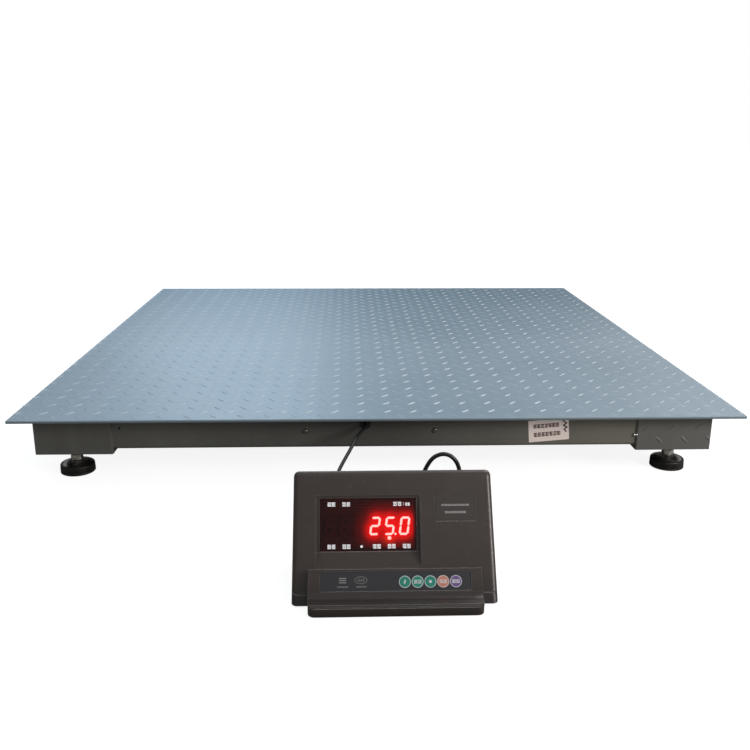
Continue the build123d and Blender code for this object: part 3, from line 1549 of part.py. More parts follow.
# ---------------------------------------------------------------- cables
signal_plug = block(
    PLUG_X - SOCKET_HALF_WIDTH,
    PLUG_X + SOCKET_HALF_WIDTH,
    CASE_REAR - SOCKET_DEPTH,
    CASE_REAR,
    PLUG_HEIGHT - SOCKET_HALF_HEIGHT,
    PLUG_HEIGHT + SOCKET_HALF_HEIGHT,
)
hood_plan = Polygon(
    (-HOOD_HALF_WIDTH, 0),
    (HOOD_HALF_WIDTH, 0),
    (HOOD_HALF_WIDTH, HOOD_SHOULDER),
    (HOOD_END_HALF_WIDTH, HOOD_DEPTH),
    (-HOOD_END_HALF_WIDTH, HOOD_DEPTH),
    (-HOOD_HALF_WIDTH, HOOD_SHOULDER),
    align=None,
)
hood = extrude(hood_plan, HOOD_HALF_HEIGHT, both=True)
hood = fillet(hood.edges().filter_by(Axis.Z), HOOD_CORNER)
hood = chamfer(hood.faces().sort_by(Axis.Z)[-1].edges(), HOOD_CHAMFER)
hood = chamfer(hood.faces().sort_by(Axis.Z)[0].edges(), HOOD_CHAMFER)
signal_plug += Pos(PLUG_X, CASE_REAR, PLUG_HEIGHT) * hood
signal_plug += Plane(
    origin=(PLUG_X, CASE_REAR + HOOD_DEPTH - 1, PLUG_HEIGHT), z_dir=(0, 1, 0)
) * Cone(*HOOD_SLEEVE, align=(Align.CENTER, Align.CENTER, Align.MIN))
cable_end_y = CASE_REAR + HOOD_DEPTH - CABLE_IN_HOOD
signal_plug -= Plane(
    origin=(PLUG_X, cable_end_y, PLUG_HEIGHT), z_dir=(0, 1, 0)
) * extrude(Circle(SIGNAL_CABLE_DIAMETER / 2), 20)
save("indicator_signal_plug", signal_plug)

inside_box_y = jbox_front + 6
leaving = (CABLE_EXIT_X + FRAME_X, -BEAM_OUTER - 8, CABLE_EXIT_HEIGHT)
arriving = (PLUG_X, CASE_REAR + HOOD_DEPTH + HOOD_SLEEVE[2] + 1, PLUG_HEIGHT)
signal_path = (
    Line((CABLE_EXIT_X + FRAME_X, inside_box_y, CABLE_EXIT_HEIGHT), leaving)
    + Spline(leaving, *SIGNAL_CABLE_POINTS, arriving, tangents=[(0, -1, 0), (0, -1, 0)])
    + Line(arriving, (PLUG_X, cable_end_y, PLUG_HEIGHT))
)
save("signal_cable", tube_along(Wire(signal_path.edges()), SIGNAL_CABLE_DIAMETER))

cord_points = [
    (CORD_X + across, CASE_REAR + back, height) for across, back, height in CORD_LOOP
]
floor_start = (CORD_X + 40, CASE_REAR + 92, CORD_LEVEL)
floor_end = (CORD_X - 23, MAINS_PLUG_Y, CORD_LEVEL)
plug_entry = (MAINS_PLUG_RIGHT - 1, MAINS_PLUG_Y, MAINS_PLUG_AXIS)
cord_path = (
    Spline(*cord_points, floor_start, tangents=[(0, 1, 0.1), (-0.7, 0.7, 0)])
    + Spline(floor_start, floor_end, tangents=[(-0.7, 0.7, 0), (-1, 0, 0)])
    + Spline(floor_end, plug_entry, tangents=[(-1, 0, 0), (-1, 0, 0)])
)
cord = tube_along(Wire(cord_path.edges()), POWER_CORD_DIAMETER)
relief = Plane(origin=(CORD_X, CASE_REAR, CORD_HEIGHT), z_dir=(0, 1, 0)) * (
    Cone(*RELIEF_SLEEVE, align=(Align.CENTER, Align.CENTER, Align.MIN))
    + Pos(0, 0, -RELIEF_NECK_LENGTH) * extrude(Circle(RELIEF_NECK_RADIUS), RELIEF_NECK_LENGTH)
    + Pos(0, 0, -RELIEF_NECK_LENGTH) * extrude(Circle(RELIEF_COLLAR_RADIUS), 2)
)
mains_plug = block(
    MAINS_PLUG_LEFT,
    MAINS_PLUG_RIGHT,
    MAINS_PLUG_Y - MAINS_PLUG_WIDTH / 2,
    MAINS_PLUG_Y + MAINS_PLUG_WIDTH / 2,
    MAINS_PLUG_AXIS - MAINS_PLUG_THICKNESS / 2,
    MAINS_PLUG_AXIS + MAINS_PLUG_THICKNESS / 2,
)
mains_plug = fillet(mains_plug.edges().filter_by(Axis.X), MAINS_PLUG_CORNER)
mains_plug = chamfer(mains_plug.faces().sort_by(Axis.X)[-1].edges(), MAINS_PLUG_CHAMFER)
for side in (-1, 1):
    blade_y = MAINS_PLUG_Y + side * BLADE_SPACING / 2
    mains_plug += block(
        MAINS_PLUG_LEFT - BLADE_LENGTH,
        MAINS_PLUG_LEFT + 1,
        blade_y - BLADE_WIDTH / 2,
        blade_y + BLADE_WIDTH / 2,
        MAINS_PLUG_AXIS - BLADE_THICKNESS / 2,
        MAINS_PLUG_AXIS + BLADE_THICKNESS / 2,
    )
save("indicator_power_cord", cord + relief + mains_plug)

# ---------------------------------------------------------------- labels
sticker = Plane(
    origin=(STICKER_CENTRE_X, -BEAM_OUTER, STICKER_CENTRE_HEIGHT),
    x_dir=(1, 0, 0),
    z_dir=(0, -1, 0),
) * (
    Rot(0, 0, STICKER_TILT)
    * extrude(RectangleRounded(STICKER_WIDTH, STICKER_HEIGHT, 1), STICKER_THICKNESS)
)
nameplate = slab(
    FACE_PLANE,
    nameplate_x,
    0,
    nameplate_width - 1,
    nameplate_height - 1,
    -NAMEPLATE_RECESS,
    -NAMEPLATE_RECESS + NAMEPLATE_THICKNESS,
    1,
)
save("labels", Compound(children=sticker.solids() + nameplate.solids()))
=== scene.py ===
import json
import math

import bmesh
import bpy
from mathutils import Matrix, Vector
from mathutils import noise as field


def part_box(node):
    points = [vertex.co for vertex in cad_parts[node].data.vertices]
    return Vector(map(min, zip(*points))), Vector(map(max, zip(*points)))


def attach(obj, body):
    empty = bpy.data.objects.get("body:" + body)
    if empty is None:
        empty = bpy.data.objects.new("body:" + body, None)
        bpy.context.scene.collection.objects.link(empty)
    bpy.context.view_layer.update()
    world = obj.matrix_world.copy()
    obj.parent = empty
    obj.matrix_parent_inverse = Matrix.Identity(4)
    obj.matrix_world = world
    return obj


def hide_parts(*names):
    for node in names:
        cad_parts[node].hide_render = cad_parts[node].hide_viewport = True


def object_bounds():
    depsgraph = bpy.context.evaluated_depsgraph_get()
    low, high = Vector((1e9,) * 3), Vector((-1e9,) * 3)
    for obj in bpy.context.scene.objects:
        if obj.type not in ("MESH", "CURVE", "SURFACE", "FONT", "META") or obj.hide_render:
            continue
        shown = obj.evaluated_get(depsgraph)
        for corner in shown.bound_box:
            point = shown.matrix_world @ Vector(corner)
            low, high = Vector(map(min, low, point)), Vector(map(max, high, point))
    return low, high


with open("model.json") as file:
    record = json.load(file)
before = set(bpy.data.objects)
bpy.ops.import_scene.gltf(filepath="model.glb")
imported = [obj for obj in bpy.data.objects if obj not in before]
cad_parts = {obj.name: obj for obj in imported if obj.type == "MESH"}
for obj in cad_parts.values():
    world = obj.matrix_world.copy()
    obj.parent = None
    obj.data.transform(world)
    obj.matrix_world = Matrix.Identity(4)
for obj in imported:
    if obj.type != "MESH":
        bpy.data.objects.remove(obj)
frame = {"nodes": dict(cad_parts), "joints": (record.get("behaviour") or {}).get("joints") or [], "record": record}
cad_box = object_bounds()
nodes = frame["nodes"]
PLATFORM = "platform"
CORNERS = {
    "front_left": (-1, -1),
    "front_right": (1, -1),
    "rear_left": (-1, 1),
    "rear_right": (1, 1),
}
MM = 0.001
# a flank's full tint is painted light: highlights facing front right, lift on shaded flanks facing front left
FLANK_TURN = (0.10, 0.34)  # how far a bar's flank leans before it takes its full tint
# painted shade: between these heights the case darkens towards the floor
LOW_SHADE_BAND = (-0.085, -0.118)  # heights between which the case darkens to the floor


# ------------------------------------------------------------------ materials
def srgb(r, g, b):
    """A linear colour from 0-255 display values."""
    out = []
    for value in (r, g, b):
        c = value / 255
        out.append(c / 12.92 if c <= 0.04045 else ((c + 0.055) / 1.055) ** 2.4)
    return (*out, 1.0)


def darker(colour, keep):
    """A colour with its light cut to a share."""
    return tuple(c * keep for c in colour[:3]) + (1,)


class Mat:
    """A node material built up step by step on object coordinates, which are the part's frame."""

    def __init__(self, name):
        self.mat = bpy.data.materials.new(name)
        self.mat.use_nodes = True
        self.nt = self.mat.node_tree
        self.bsdf = self.nt.nodes["Principled BSDF"]
        self.out = self.nt.nodes["Material Output"]
        self.coords = self.nt.nodes.new("ShaderNodeTexCoord").outputs["Object"]

    def node(self, kind, **inputs):
        """A new node, with some of its inputs set or linked."""
        n = self.nt.nodes.new("ShaderNode" + kind)
        for key, value in inputs.items():
            self.put(n.inputs[key.replace("_", " ")], value)
        return n

    def put(self, socket, value):
        """Links a socket to another, or gives it a plain value."""
        if isinstance(value, bpy.types.NodeSocket):
            self.nt.links.new(value, socket)
        else:
            socket.default_value = value

    def set(self, **inputs):
        """Sets inputs of the main shader."""
        for key, value in inputs.items():
            self.put(self.bsdf.inputs[key.replace("_", " ")], value)

    def stretched(self, scale):
        """The object coordinates, scaled by axis."""
        n = self.node("Mapping", Vector=self.coords)
        n.inputs["Scale"].default_value = scale
        return n.outputs[0]

    def noise(self, scale, detail=4.0, rough=0.55, stretch=None, warp=0.0):
        vector = self.stretched(stretch) if stretch else self.coords
        n = self.node("TexNoise", Vector=vector, Scale=scale, Detail=detail, Roughness=rough,
                      Distortion=warp)
        return n.outputs["Fac"]

    def cells(self, scale, feature="F1"):
        n = self.node("TexVoronoi", Vector=self.coords, Scale=scale)
        n.feature = feature
        return n.outputs["Distance"]

    def fit(self, value, low, high, to_low=0.0, to_high=1.0):
        """Maps low..high to another range, clamped."""
        n = self.node("MapRange")
        for index, v in enumerate((value, low, high, to_low, to_high)):
            self.put(n.inputs[index], v)
        return n.outputs[0]

    def math(self, operation, a, b=0.0):
        n = self.node("Math")
        n.operation = operation
        self.put(n.inputs[0], a)
        self.put(n.inputs[1], b)
        return n.outputs[0]

    def mix(self, fac, a, b):
        n = self.nt.nodes.new("ShaderNodeMix")
        n.data_type = "RGBA"
        self.put(n.inputs[0], fac)
        self.put(n.inputs[6], a)
        self.put(n.inputs[7], b)
        return n.outputs[2]

    def over(self, base, mask, amount, colour):
        """A colour laid over the base where the mask is, up to an amount."""
        return self.mix(self.math("MULTIPLY", mask, amount), base, colour)

    def axis(self, name):
        return self.node("SeparateXYZ", Vector=self.coords).outputs[name]

    def facing(self, direction, normal=None):
        """How far the surface, or a given normal, points along a direction."""
        if normal is None:
            normal = self.node("NewGeometry").outputs["Normal"]
        n = self.node("VectorMath")
        n.operation = "DOT_PRODUCT"
        self.put(n.inputs[0], normal)
        self.put(n.inputs[1], direction)
        return n.outputs["Value"]

    def bump(self, height, strength=0.3, distance=0.001, normal=None):
        """Adds relief to the main shader, over an earlier normal if one is given."""
        n = self.node("Bump", Height=height, Strength=strength, Distance=distance)
        if normal is not None:
            self.put(n.inputs["Normal"], normal)
        self.put(self.bsdf.inputs["Normal"], n.outputs[0])
        return n.outputs[0]


def deck_paint():
    """Blue-grey shop paint, cloudy, rubbed on the bars; painted light to the right, a painted bluish sheen to the
    left, painted shade to the rear and on the plate's edge, painted highlights on the bars' flanks.
    """
    m = Mat("deck_paint")
    cloud = m.noise(2.6, 5, 0.6, warp=0.6)
    fine = m.noise(60, 4, 0.6)
    base = m.mix(m.fit(cloud, 0.3, 0.7), srgb(116, 143, 161), srgb(130, 153, 170))
    # painted light: lighter and greyer towards the right; painted bluish sheen towards the left; painted shade
    # towards the rear
    base = m.over(base, m.fit(m.axis("X"), -0.6, 0.6), 0.45, srgb(142, 156, 167))
    base = m.over(base, m.fit(m.axis("X"), -0.10, -0.50), 0.55, srgb(156, 176, 192))
    base = m.over(base, m.fit(m.axis("Y"), -0.10, 0.60), 0.80, srgb(74, 106, 124))
    base = m.over(base, m.fit(fine, 0.45, 0.75), 0.22, srgb(100, 122, 138))
    # long scuffs one way, darker ones across
    scuffs = m.noise(9, 3, 0.7, stretch=(9.0, 0.9, 1.0), warp=0.4)
    base = m.over(base, m.fit(scuffs, 0.6, 0.74), 0.22, srgb(160, 172, 180))
    scuffs_across = m.noise(8, 3, 0.7, stretch=(0.7, 7.0, 1.0), warp=0.5)
    base = m.over(base, m.fit(scuffs_across, 0.62, 0.74), 0.18, srgb(96, 116, 130))
    # the bars: rubbed on top; painted highlights on flanks facing front right, and painted light on the shaded
    # flanks facing front left
    raised_foot = m.fit(m.axis("Z"), -0.1 * MM, 0.1 * MM)
    raised = m.fit(m.axis("Z"), 0.2 * MM, 0.8 * MM)
    rubbed = m.math("MULTIPLY", raised, m.fit(m.noise(35, 3), 0.3, 0.62))
    base = m.over(base, rubbed, 0.34, srgb(176, 188, 194))
    right_flank_highlight = m.fit(m.facing((0.7, -0.7, 0.0)), *FLANK_TURN)
    base = m.over(base, right_flank_highlight, 0.46, srgb(200, 213, 222))
    left_flank_painted_light = m.math("MULTIPLY", m.fit(m.facing((-0.7, -0.7, 0.0)), *FLANK_TURN), raised_foot)
    base = m.over(base, left_flank_painted_light, 0.55, srgb(180, 197, 210))
    # painted shade: the plate's edge darkens towards its underside
    base = m.over(base, m.fit(m.axis("Z"), -0.3 * MM, -0.6 * MM), 0.45, srgb(104, 122, 134))
    base = m.over(base, m.fit(m.axis("Z"), -1.6 * MM, -2.6 * MM), 0.7, srgb(66, 80, 88))
    smooth = m.math("MULTIPLY", raised, -0.07)
    m.set(Base_Color=base, Metallic=0.0, Specular_IOR_Level=0.55,
          Roughness=m.math("ADD", smooth, m.fit(cloud, 0.2, 0.8, 0.40, 0.52)))
    n = m.bump(m.noise(420, 3, 0.5), 0.14, 0.0006)
    m.bump(m.noise(26, 3, 0.5), 0.10, 0.002, n)
    return m.mat


def frame_paint(name, dark, light, streak, painted_light_right=srgb(124, 119, 106)):
    """Satin frame paint with orange peel, cloudy dust and a few rubbed edges, with painted light to the right and
    painted shade in the middle.
    """
    m = Mat(name)
    cloud = m.noise(7, 5, 0.6, warp=0.3)
    base = m.mix(m.fit(cloud, 0.3, 0.7), dark, light)
    vertical = m.noise(22, 4, 0.6, stretch=(1.0, 1.0, 0.12))
    base = m.over(base, m.fit(vertical, 0.52, 0.75), 0.30, streak)
    # painted light: lighter and warmer to the right; painted shade: darker in the middle
    base = m.over(base, m.fit(m.axis("X"), 0.02, 0.36), 0.5, painted_light_right)
    from_middle = m.math("ABSOLUTE", m.math("ADD", m.axis("X"), 0.02))
    base = m.over(base, m.fit(from_middle, 0.30, 0.05), 0.5, srgb(62, 62, 59))
    base = m.over(base, m.fit(m.cells(150), 0.10, 0.04), 0.22, srgb(150, 150, 142))
    edges = m.node("Bevel", Radius=1.6 * MM)
    edges.samples = 4
    at_edge = m.fit(m.facing(m.node("NewGeometry").outputs["Normal"], edges.outputs[0]), 0.985, 0.93)
    worn = m.math("MULTIPLY", at_edge, m.fit(m.noise(60, 3), 0.42, 0.62))
    base = m.over(base, worn, 0.5, srgb(126, 128, 122))
    m.set(Base_Color=base, Roughness=m.fit(cloud, 0.2, 0.8, 0.36, 0.55), Specular_IOR_Level=0.5)
    n = m.bump(m.noise(520, 2, 0.5), 0.18, 0.0004)
    m.bump(m.noise(30, 3, 0.5), 0.12, 0.0015, n)
    return m.mat


def metal(name, colour, rough, grain=0.15, tarnish=None, stretch=(1.0, 1.0, 14.0)):
    """Plated or machined steel with fine turning marks and uneven tarnish."""
    m = Mat(name)
    cloud = m.noise(55, 4, 0.6)
    base = m.mix(m.fit(cloud, 0.35, 0.7), colour, tarnish or darker(colour, 0.72))
    lines = m.noise(240, 3, 0.6, stretch=stretch)
    m.set(Base_Color=base, Metallic=1.0, Roughness=m.fit(lines, 0.25, 0.75, rough * 0.7, rough * 1.5))
    m.bump(lines, grain, 0.0003)
    return m.mat


def plastic(name, colour, rough=0.42, grain=0.2, scale=1500, shade=0.8, coat=0.0, low_shade=0.0,
            soft_edges=0.0):
    """Moulded plastic: spark-eroded grain, slight cloudiness and handling dust. It can take painted
    shade towards the floor, and its edges can be eased, with a painted highlight on those facing left."""
    m = Mat(name)
    cloud = m.noise(24, 4, 0.6)
    base = m.mix(m.fit(cloud, 0.3, 0.7), darker(colour, shade), colour)
    base = m.over(base, m.fit(m.noise(190, 5, 0.7), 0.60, 0.78), 0.10, srgb(190, 188, 182))
    # painted shade: darker towards the floor
    if low_shade:
        base = m.over(base, m.fit(m.axis("Z"), *LOW_SHADE_BAND), low_shade, srgb(20, 17, 15))
    eased = None
    if soft_edges:
        rounding = m.node("Bevel", Radius=soft_edges)
        rounding.samples = 6
        eased = rounding.outputs[0]
        # painted highlight on eased edges facing left
        at_edge = m.fit(m.facing(m.node("NewGeometry").outputs["Normal"], eased), 0.99, 0.90)
        to_left = m.fit(m.facing((-0.85, -0.35, 0.4), eased), 0.15, 0.5)
        base = m.over(base, m.math("MULTIPLY", at_edge, to_left), 0.85, srgb(200, 197, 195))
    m.set(Base_Color=base, Roughness=m.fit(cloud, 0.2, 0.8, rough * 0.85, rough * 1.15),
          Specular_IOR_Level=0.5, Coat_Weight=coat, Coat_Roughness=0.25)
    m.bump(m.noise(scale, 2, 0.5), grain, 0.0003, eased)
    return m.mat


def rubber(name, colour):
    """Black rubber with a dull bloom and fine moulding grain."""
    m = Mat(name)
    bloom = m.fit(m.noise(70, 5, 0.65), 0.45, 0.8)
    base = m.over(colour, bloom, 0.35, srgb(78, 76, 74))
    m.set(Base_Color=base, Roughness=m.fit(bloom, 0.0, 1.0, 0.42, 0.72), Specular_IOR_Level=0.45)
    m.bump(m.noise(900, 3, 0.6), 0.3, 0.0003)
    return m.mat


def printed(name, colour, rough=0.35, lit=0.0):
    """A printed film or ink: faint print mottling under a satin skin; lit sets a glow that is painted light."""
    m = Mat(name)
    mottle = m.noise(900, 3, 0.6)
    base = m.over(colour, m.fit(mottle, 0.4, 0.7), 0.14, darker(colour, 0.6))
    m.set(Base_Color=base, Roughness=m.fit(mottle, 0.3, 0.7, rough, rough + 0.12),
          Emission_Color=base, Emission_Strength=lit)
    m.bump(mottle, 0.06, 0.0002)
    return m.mat


def board():
    """Green solder mask with fine copper tracks showing through."""
    m = Mat("circuit_board")
    tracks = m.node("TexBrick", Vector=m.stretched((1.0, 1.0, 1.3)), Scale=160.0)
    tracks.inputs["Mortar Size"].default_value = 0.035
    wander = m.fit(m.cells(260, "DISTANCE_TO_EDGE"), 0.02, 0.06)
    both = m.math("MULTIPLY", tracks.outputs["Fac"], wander)
    base = m.mix(both, srgb(24, 84, 46), srgb(58, 128, 72))
    m.set(Base_Color=base, Roughness=0.28, Coat_Weight=0.4)
    m.bump(both, 0.15, 0.0003)
    return m.mat


def glow(name, colour, strength):
    """A lit segment: an evenly bright face with fine grain over a dark lens."""
    m = Mat(name)
    grain = m.fit(m.noise(700, 2), 0.3, 0.7, 0.88, 1.0)
    m.set(Base_Color=(0.02, 0.002, 0.002, 1), Roughness=0.4, Emission_Color=colour,
          Emission_Strength=m.math("MULTIPLY", grain, strength))
    return m.mat


def acrylic():
    """Dark red acrylic: mirror-like skin over a strong red tint."""
    m = Mat("window_red")
    streaks = m.noise(40, 3, 0.6, stretch=(1.0, 6.0, 6.0))
    tint = m.mix(m.fit(streaks, 0.3, 0.7), (0.90, 0.33, 0.32, 1), (0.87, 0.30, 0.29, 1))
    clear = m.node("BsdfTransparent", Color=tint)
    gloss = m.node("BsdfGlossy", Color=(1, 1, 1, 1), Roughness=m.fit(streaks, 0.3, 0.7, 0.05, 0.09))
    fresnel = m.node("Fresnel", IOR=1.38)
    mixed = m.node("MixShader")
    m.put(mixed.inputs[0], fresnel.outputs[0])
    m.put(mixed.inputs[1], clear.outputs[0])
    m.put(mixed.inputs[2], gloss.outputs[0])
    m.put(m.out.inputs["Surface"], mixed.outputs[0])
    return m.mat


def halo():
    """Light scattered round the lit digits, read from the film's own glow attribute."""
    m = Mat("led_halo")
    level = m.node("Attribute")
    level.attribute_name = "glow"
    emit = m.node("Emission", Color=(1.0, 0.02, 0.02, 1),
                  Strength=m.math("MULTIPLY", level.outputs["Fac"], 2.2))
    clear = m.node("BsdfTransparent")
    added = m.node("AddShader")
    m.put(added.inputs[0], emit.outputs[0])
    m.put(added.inputs[1], clear.outputs[0])
    m.put(m.out.inputs["Surface"], added.outputs[0])
    return m.mat


M = {
    "deck_paint": deck_paint(),
    # both frame paints take painted light to the right and painted shade in the middle
    "frame_paint": frame_paint("frame_paint", srgb(82, 82, 78), srgb(96, 96, 91), srgb(110, 110, 104)),
    "box_tread_paint": frame_paint("box_tread_paint", srgb(72, 72, 71), srgb(90, 90, 88),
                                   srgb(108, 108, 105), srgb(106, 106, 102)),
    "cell_steel": metal("cell_steel", (0.60, 0.61, 0.61, 1), 0.34, 0.12, stretch=(1.0, 12.0, 1.0)),
    "zinc_steel": metal("zinc_steel", (0.66, 0.66, 0.64, 1), 0.30, 0.10,
                        tarnish=(0.46, 0.42, 0.36, 1)),
    "foot_metal": metal("foot_metal", (0.66, 0.65, 0.63, 1), 0.26, 0.05,
                        tarnish=(0.30, 0.29, 0.28, 1)),
    "dark_screw": metal("dark_screw", (0.30, 0.29, 0.27, 1), 0.26, 0.10,
                        tarnish=(0.14, 0.13, 0.12, 1)),
    "core_steel": metal("core_steel", (0.30, 0.31, 0.33, 1), 0.45, 0.5, stretch=(1.0, 40.0, 1.0)),
    "foot_rubber": rubber("foot_rubber", srgb(15, 14, 14)),
    "white_nylon": plastic("white_nylon", srgb(216, 214, 204), 0.5),
    "cable_grey": plastic("cable_grey", srgb(15, 15, 15), 0.62, 0.08, 900),
    "cord_black": plastic("cord_black", srgb(26, 26, 28), 0.36, 0.1, 900),
    "box_plastic": plastic("box_plastic", srgb(150, 153, 155), 0.45),
    "black_plastic": plastic("black_plastic", srgb(30, 30, 32), 0.40),
    "circuit_board": board(),
    # painted light: the label film glows a little
    "label_film": printed("label_film", srgb(226, 212, 206), 0.36, 0.13),
    # the case takes painted shade towards the floor and painted highlights on edges facing left
    "case_plastic": plastic("case_plastic", srgb(62, 52, 48), 0.40, 0.18, 1700, 0.86, 0.12, 0.80,
                            0.0007),
    "window_red": acrylic(),
    "overlay_film": printed("overlay_film", srgb(50, 49, 53), 0.38),
    # painted light: the white ink glows a little
    "ink_white": printed("ink_white", srgb(240, 241, 244), 0.40, 0.32),
    "ink_light": printed("ink_light", srgb(176, 174, 174), 0.45),
    "ink_grey": printed("ink_grey", srgb(138, 137, 138), 0.45),
    "ink_black": printed("ink_black", srgb(92, 64, 60), 0.45),
    "nameplate_dark": printed("nameplate_dark", srgb(62, 56, 53), 0.40),
    "key_green": printed("key_green", srgb(38, 138, 118), 0.36),
    "key_orange": printed("key_orange", srgb(206, 132, 112), 0.36),
    "key_purple": printed("key_purple", srgb(116, 88, 142), 0.36),
    # painted light: the key rims glow a little
    "key_rim": printed("key_rim", srgb(206, 208, 212), 0.36, 0.08),
    "module_face": plastic("module_face", srgb(20, 17, 17), 0.55, 0.1, 800),
    "segment_off": plastic("segment_off", srgb(66, 30, 28), 0.45, 0.05, 600),
    "segment_on": glow("segment_on", (1.0, 0.80, 0.77, 1), 10.0),
    "led_halo": halo(),
}

for entry in frame["record"]["subparts"]:
    mesh = nodes[entry["node"]].data
    mesh.materials.clear()
    mesh.materials.append(M.get(entry["material_slot"], M["module_face"]))
nodes["corner_box_front_right"].data.materials[0] = M["box_tread_paint"]
nodes["frame_screws"].data.materials[0] = M["dark_screw"]


# ------------------------------------------------------------------ mesh helpers
def piece(name, shape, material, body=PLATFORM, slot=None, smooth=None):
    """A new mesh piece riding on a body; its slot argument is not used."""
    mesh = bpy.data.meshes.new(name)
    mesh.from_pydata([tuple(v) for v in shape.verts], [], shape.faces)
    mesh.validate()
    obj = bpy.data.objects.new(name, mesh)
    bpy.context.scene.collection.objects.link(obj)
    bm = bmesh.new()
    bm.from_mesh(mesh)
    bmesh.ops.recalc_face_normals(bm, faces=bm.faces)
    bm.to_mesh(mesh)
    bm.free()
    mesh.materials.append(M[material])
    if smooth is not None:
        for poly in mesh.polygons:
            poly.use_smooth = True
        mesh.set_sharp_from_angle(angle=math.radians(smooth))
    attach(obj, body)
    slot or material
    return obj


class Shape:
    """Collects closed shells into one mesh."""

    def __init__(self):
        self.verts = []
        self.faces = []

    def add(self, verts, faces):
        """Appends a shell, its faces numbered from its own first point."""
        base = len(self.verts)
        self.verts += verts
        self.faces += [tuple(base + i for i in f) for f in faces]

    def rings(self, rings):
        """Joins equal rings of points into a closed skin."""
        count = len(rings[0])
        verts = [p for ring in rings for p in ring]
        faces = []
        for r in range(len(rings) - 1):
            for i in range(count):
                j = (i + 1) % count
                a, b = r * count, (r + 1) * count
                faces.append((a + i, a + j, b + j, b + i))
        last = (len(rings) - 1) * count
        faces.append(tuple(reversed(range(count))))
        faces.append(tuple(last + i for i in range(count)))
        self.add(verts, faces)


def lathe(shape, centre, outline, turns):
    """Turns an outline of (radius, height) about a vertical axis; its ends close on the axis."""
    rings = []
    for radius, height in outline:
        radius = max(radius, 0.01 * MM)
        rings.append([Vector((centre[0] + radius * math.cos(2 * math.pi * k / turns),
                              centre[1] + radius * math.sin(2 * math.pi * k / turns),
                              centre[2] + height)) for k in range(turns)])
    shape.rings(rings)


class Slope:
    """A sloped face: X across, Y up the slope, Z out of it."""

    def __init__(self, centre, angle):
        self.o = Vector(centre)
        self.v = Vector((0, math.cos(angle), math.sin(angle)))
        self.n = Vector((0, -math.sin(angle), math.cos(angle)))

    def at(self, x, y, z=0.0):
        """The point at x across, y up the slope and z out of it."""
        return Vector((x, self.o.y, self.o.z)) + self.v * y + self.n * z

    def plate(self, shape, outline, z0, z1, bevel=0.0):
        """A plate with an outline of (x, y) between two depths, its top edge eased."""
        low = [self.at(x, y, z0) for x, y in outline]
        if not bevel:
            shape.rings([low, [self.at(x, y, z1) for x, y in outline]])
            return
        cx = sum(p[0] for p in outline) / len(outline)
        cy = sum(p[1] for p in outline) / len(outline)
        span = max(max(abs(p[0] - cx), abs(p[1] - cy)) for p in outline)
        k = 1 - bevel / span
        top = [self.at(cx + (x - cx) * k, cy + (y - cy) * k, z1) for x, y in outline]
        shape.rings([low, [self.at(x, y, z1 - bevel) for x, y in outline], top])


def rounded(cx, cy, width, height, radius, steps=4, turn=0.0):
    """A rounded rectangle as a list of (x, y), turned by an angle."""
    points = []
    for sx, sy, start in ((1, 1, 0), (-1, 1, 90), (-1, -1, 180), (1, -1, 270)):
        for k in range(steps + 1):
            a = math.radians(start + 90 * k / steps)
            x = sx * (width / 2 - radius) + radius * math.cos(a)
            y = sy * (height / 2 - radius) + radius * math.sin(a)
            points.append((cx + x * math.cos(turn) - y * math.sin(turn),
                           cy + x * math.sin(turn) + y * math.cos(turn)))
    return points


def disc(cx, cy, radius, steps=32):
    """A circle as a list of (x, y)."""
    return [(cx + radius * math.cos(2 * math.pi * k / steps),
             cy + radius * math.sin(2 * math.pi * k / steps)) for k in range(steps)]


# ------------------------------------------------------------------ treadplate
LATTICE = 43.4 * MM
LATTICE_X = 54 * MM
LATTICE_Y = -564 * MM
BAR_LENGTH = 24 * MM
BAR_WIDTH = 5.4 * MM
BAR_HEIGHT = 1.0 * MM
BAR_TURN = math.radians(45)
REACH = 16  # lattice steps either side of the middle
EASE = 0.6 * MM
# On the corner box the pattern starts here from the box's lower left corner
BOX_PATTERN_X = 17 * MM
BOX_PATTERN_Z = -4 * MM
BOX_PATTERN_REACH = 44 * MM
BOX_INSET = 2.2 * MM
BOX_WEAR = 0.6
PAST_EDGE = 8 * MM


def tread_bar(shape, at, turn, wear):
    """One raised lens-shaped bar: pointed ends, sloping sides, slightly crowned top."""
    count = 8
    levels = ((1.0, -0.25), (0.98, 0.0), (0.66, 0.42), (0.36, 0.80), (0.12, 1.0 - 0.10 * wear))
    rings = []
    for shrink, rise in levels:
        ring = []
        for side in (1, -1):
            for k in range(count):
                t = -1 + 2 * k / count
                along = BAR_LENGTH / 2 * t * (0.35 + 0.65 * shrink) * side
                across = BAR_WIDTH / 2 * (1 - abs(t) ** 1.8) * shrink * -side
                ring.append((along, across))
        height = BAR_HEIGHT * rise
        rings.append([at(x * math.cos(turn) - y * math.sin(turn),
                         x * math.sin(turn) + y * math.cos(turn), height) for x, y in ring])
    shape.rings(rings)


def lattice(columns, rows):
    """Places of the bars, in steps of the lattice, with their turns: two crossed sets."""
    for i in columns:
        for j in rows:
            yield i, j, BAR_TURN
            yield i + 0.5, j + 0.5, -BAR_TURN


def trim(obj, low, high, axes=(0, 1)):
    """Cuts a mesh to a box along some axes and closes the cuts."""
    bm = bmesh.new()
    bm.from_mesh(obj.data)
    for axis in axes:
        for limit, sign in ((low[axis], -1), (high[axis], 1)):
            normal = [0, 0, 0]
            normal[axis] = sign
            at = [0, 0, 0]
            at[axis] = limit
            cut = bmesh.ops.bisect_plane(bm, geom=bm.verts[:] + bm.edges[:] + bm.faces[:],
                                         plane_co=at, plane_no=normal, clear_outer=True)
            rim = [g for g in cut["geom_cut"] if isinstance(g, bmesh.types.BMEdge)]
            bmesh.ops.holes_fill(bm, edges=rim, sides=0)
    bm.to_mesh(obj.data)
    bm.free()


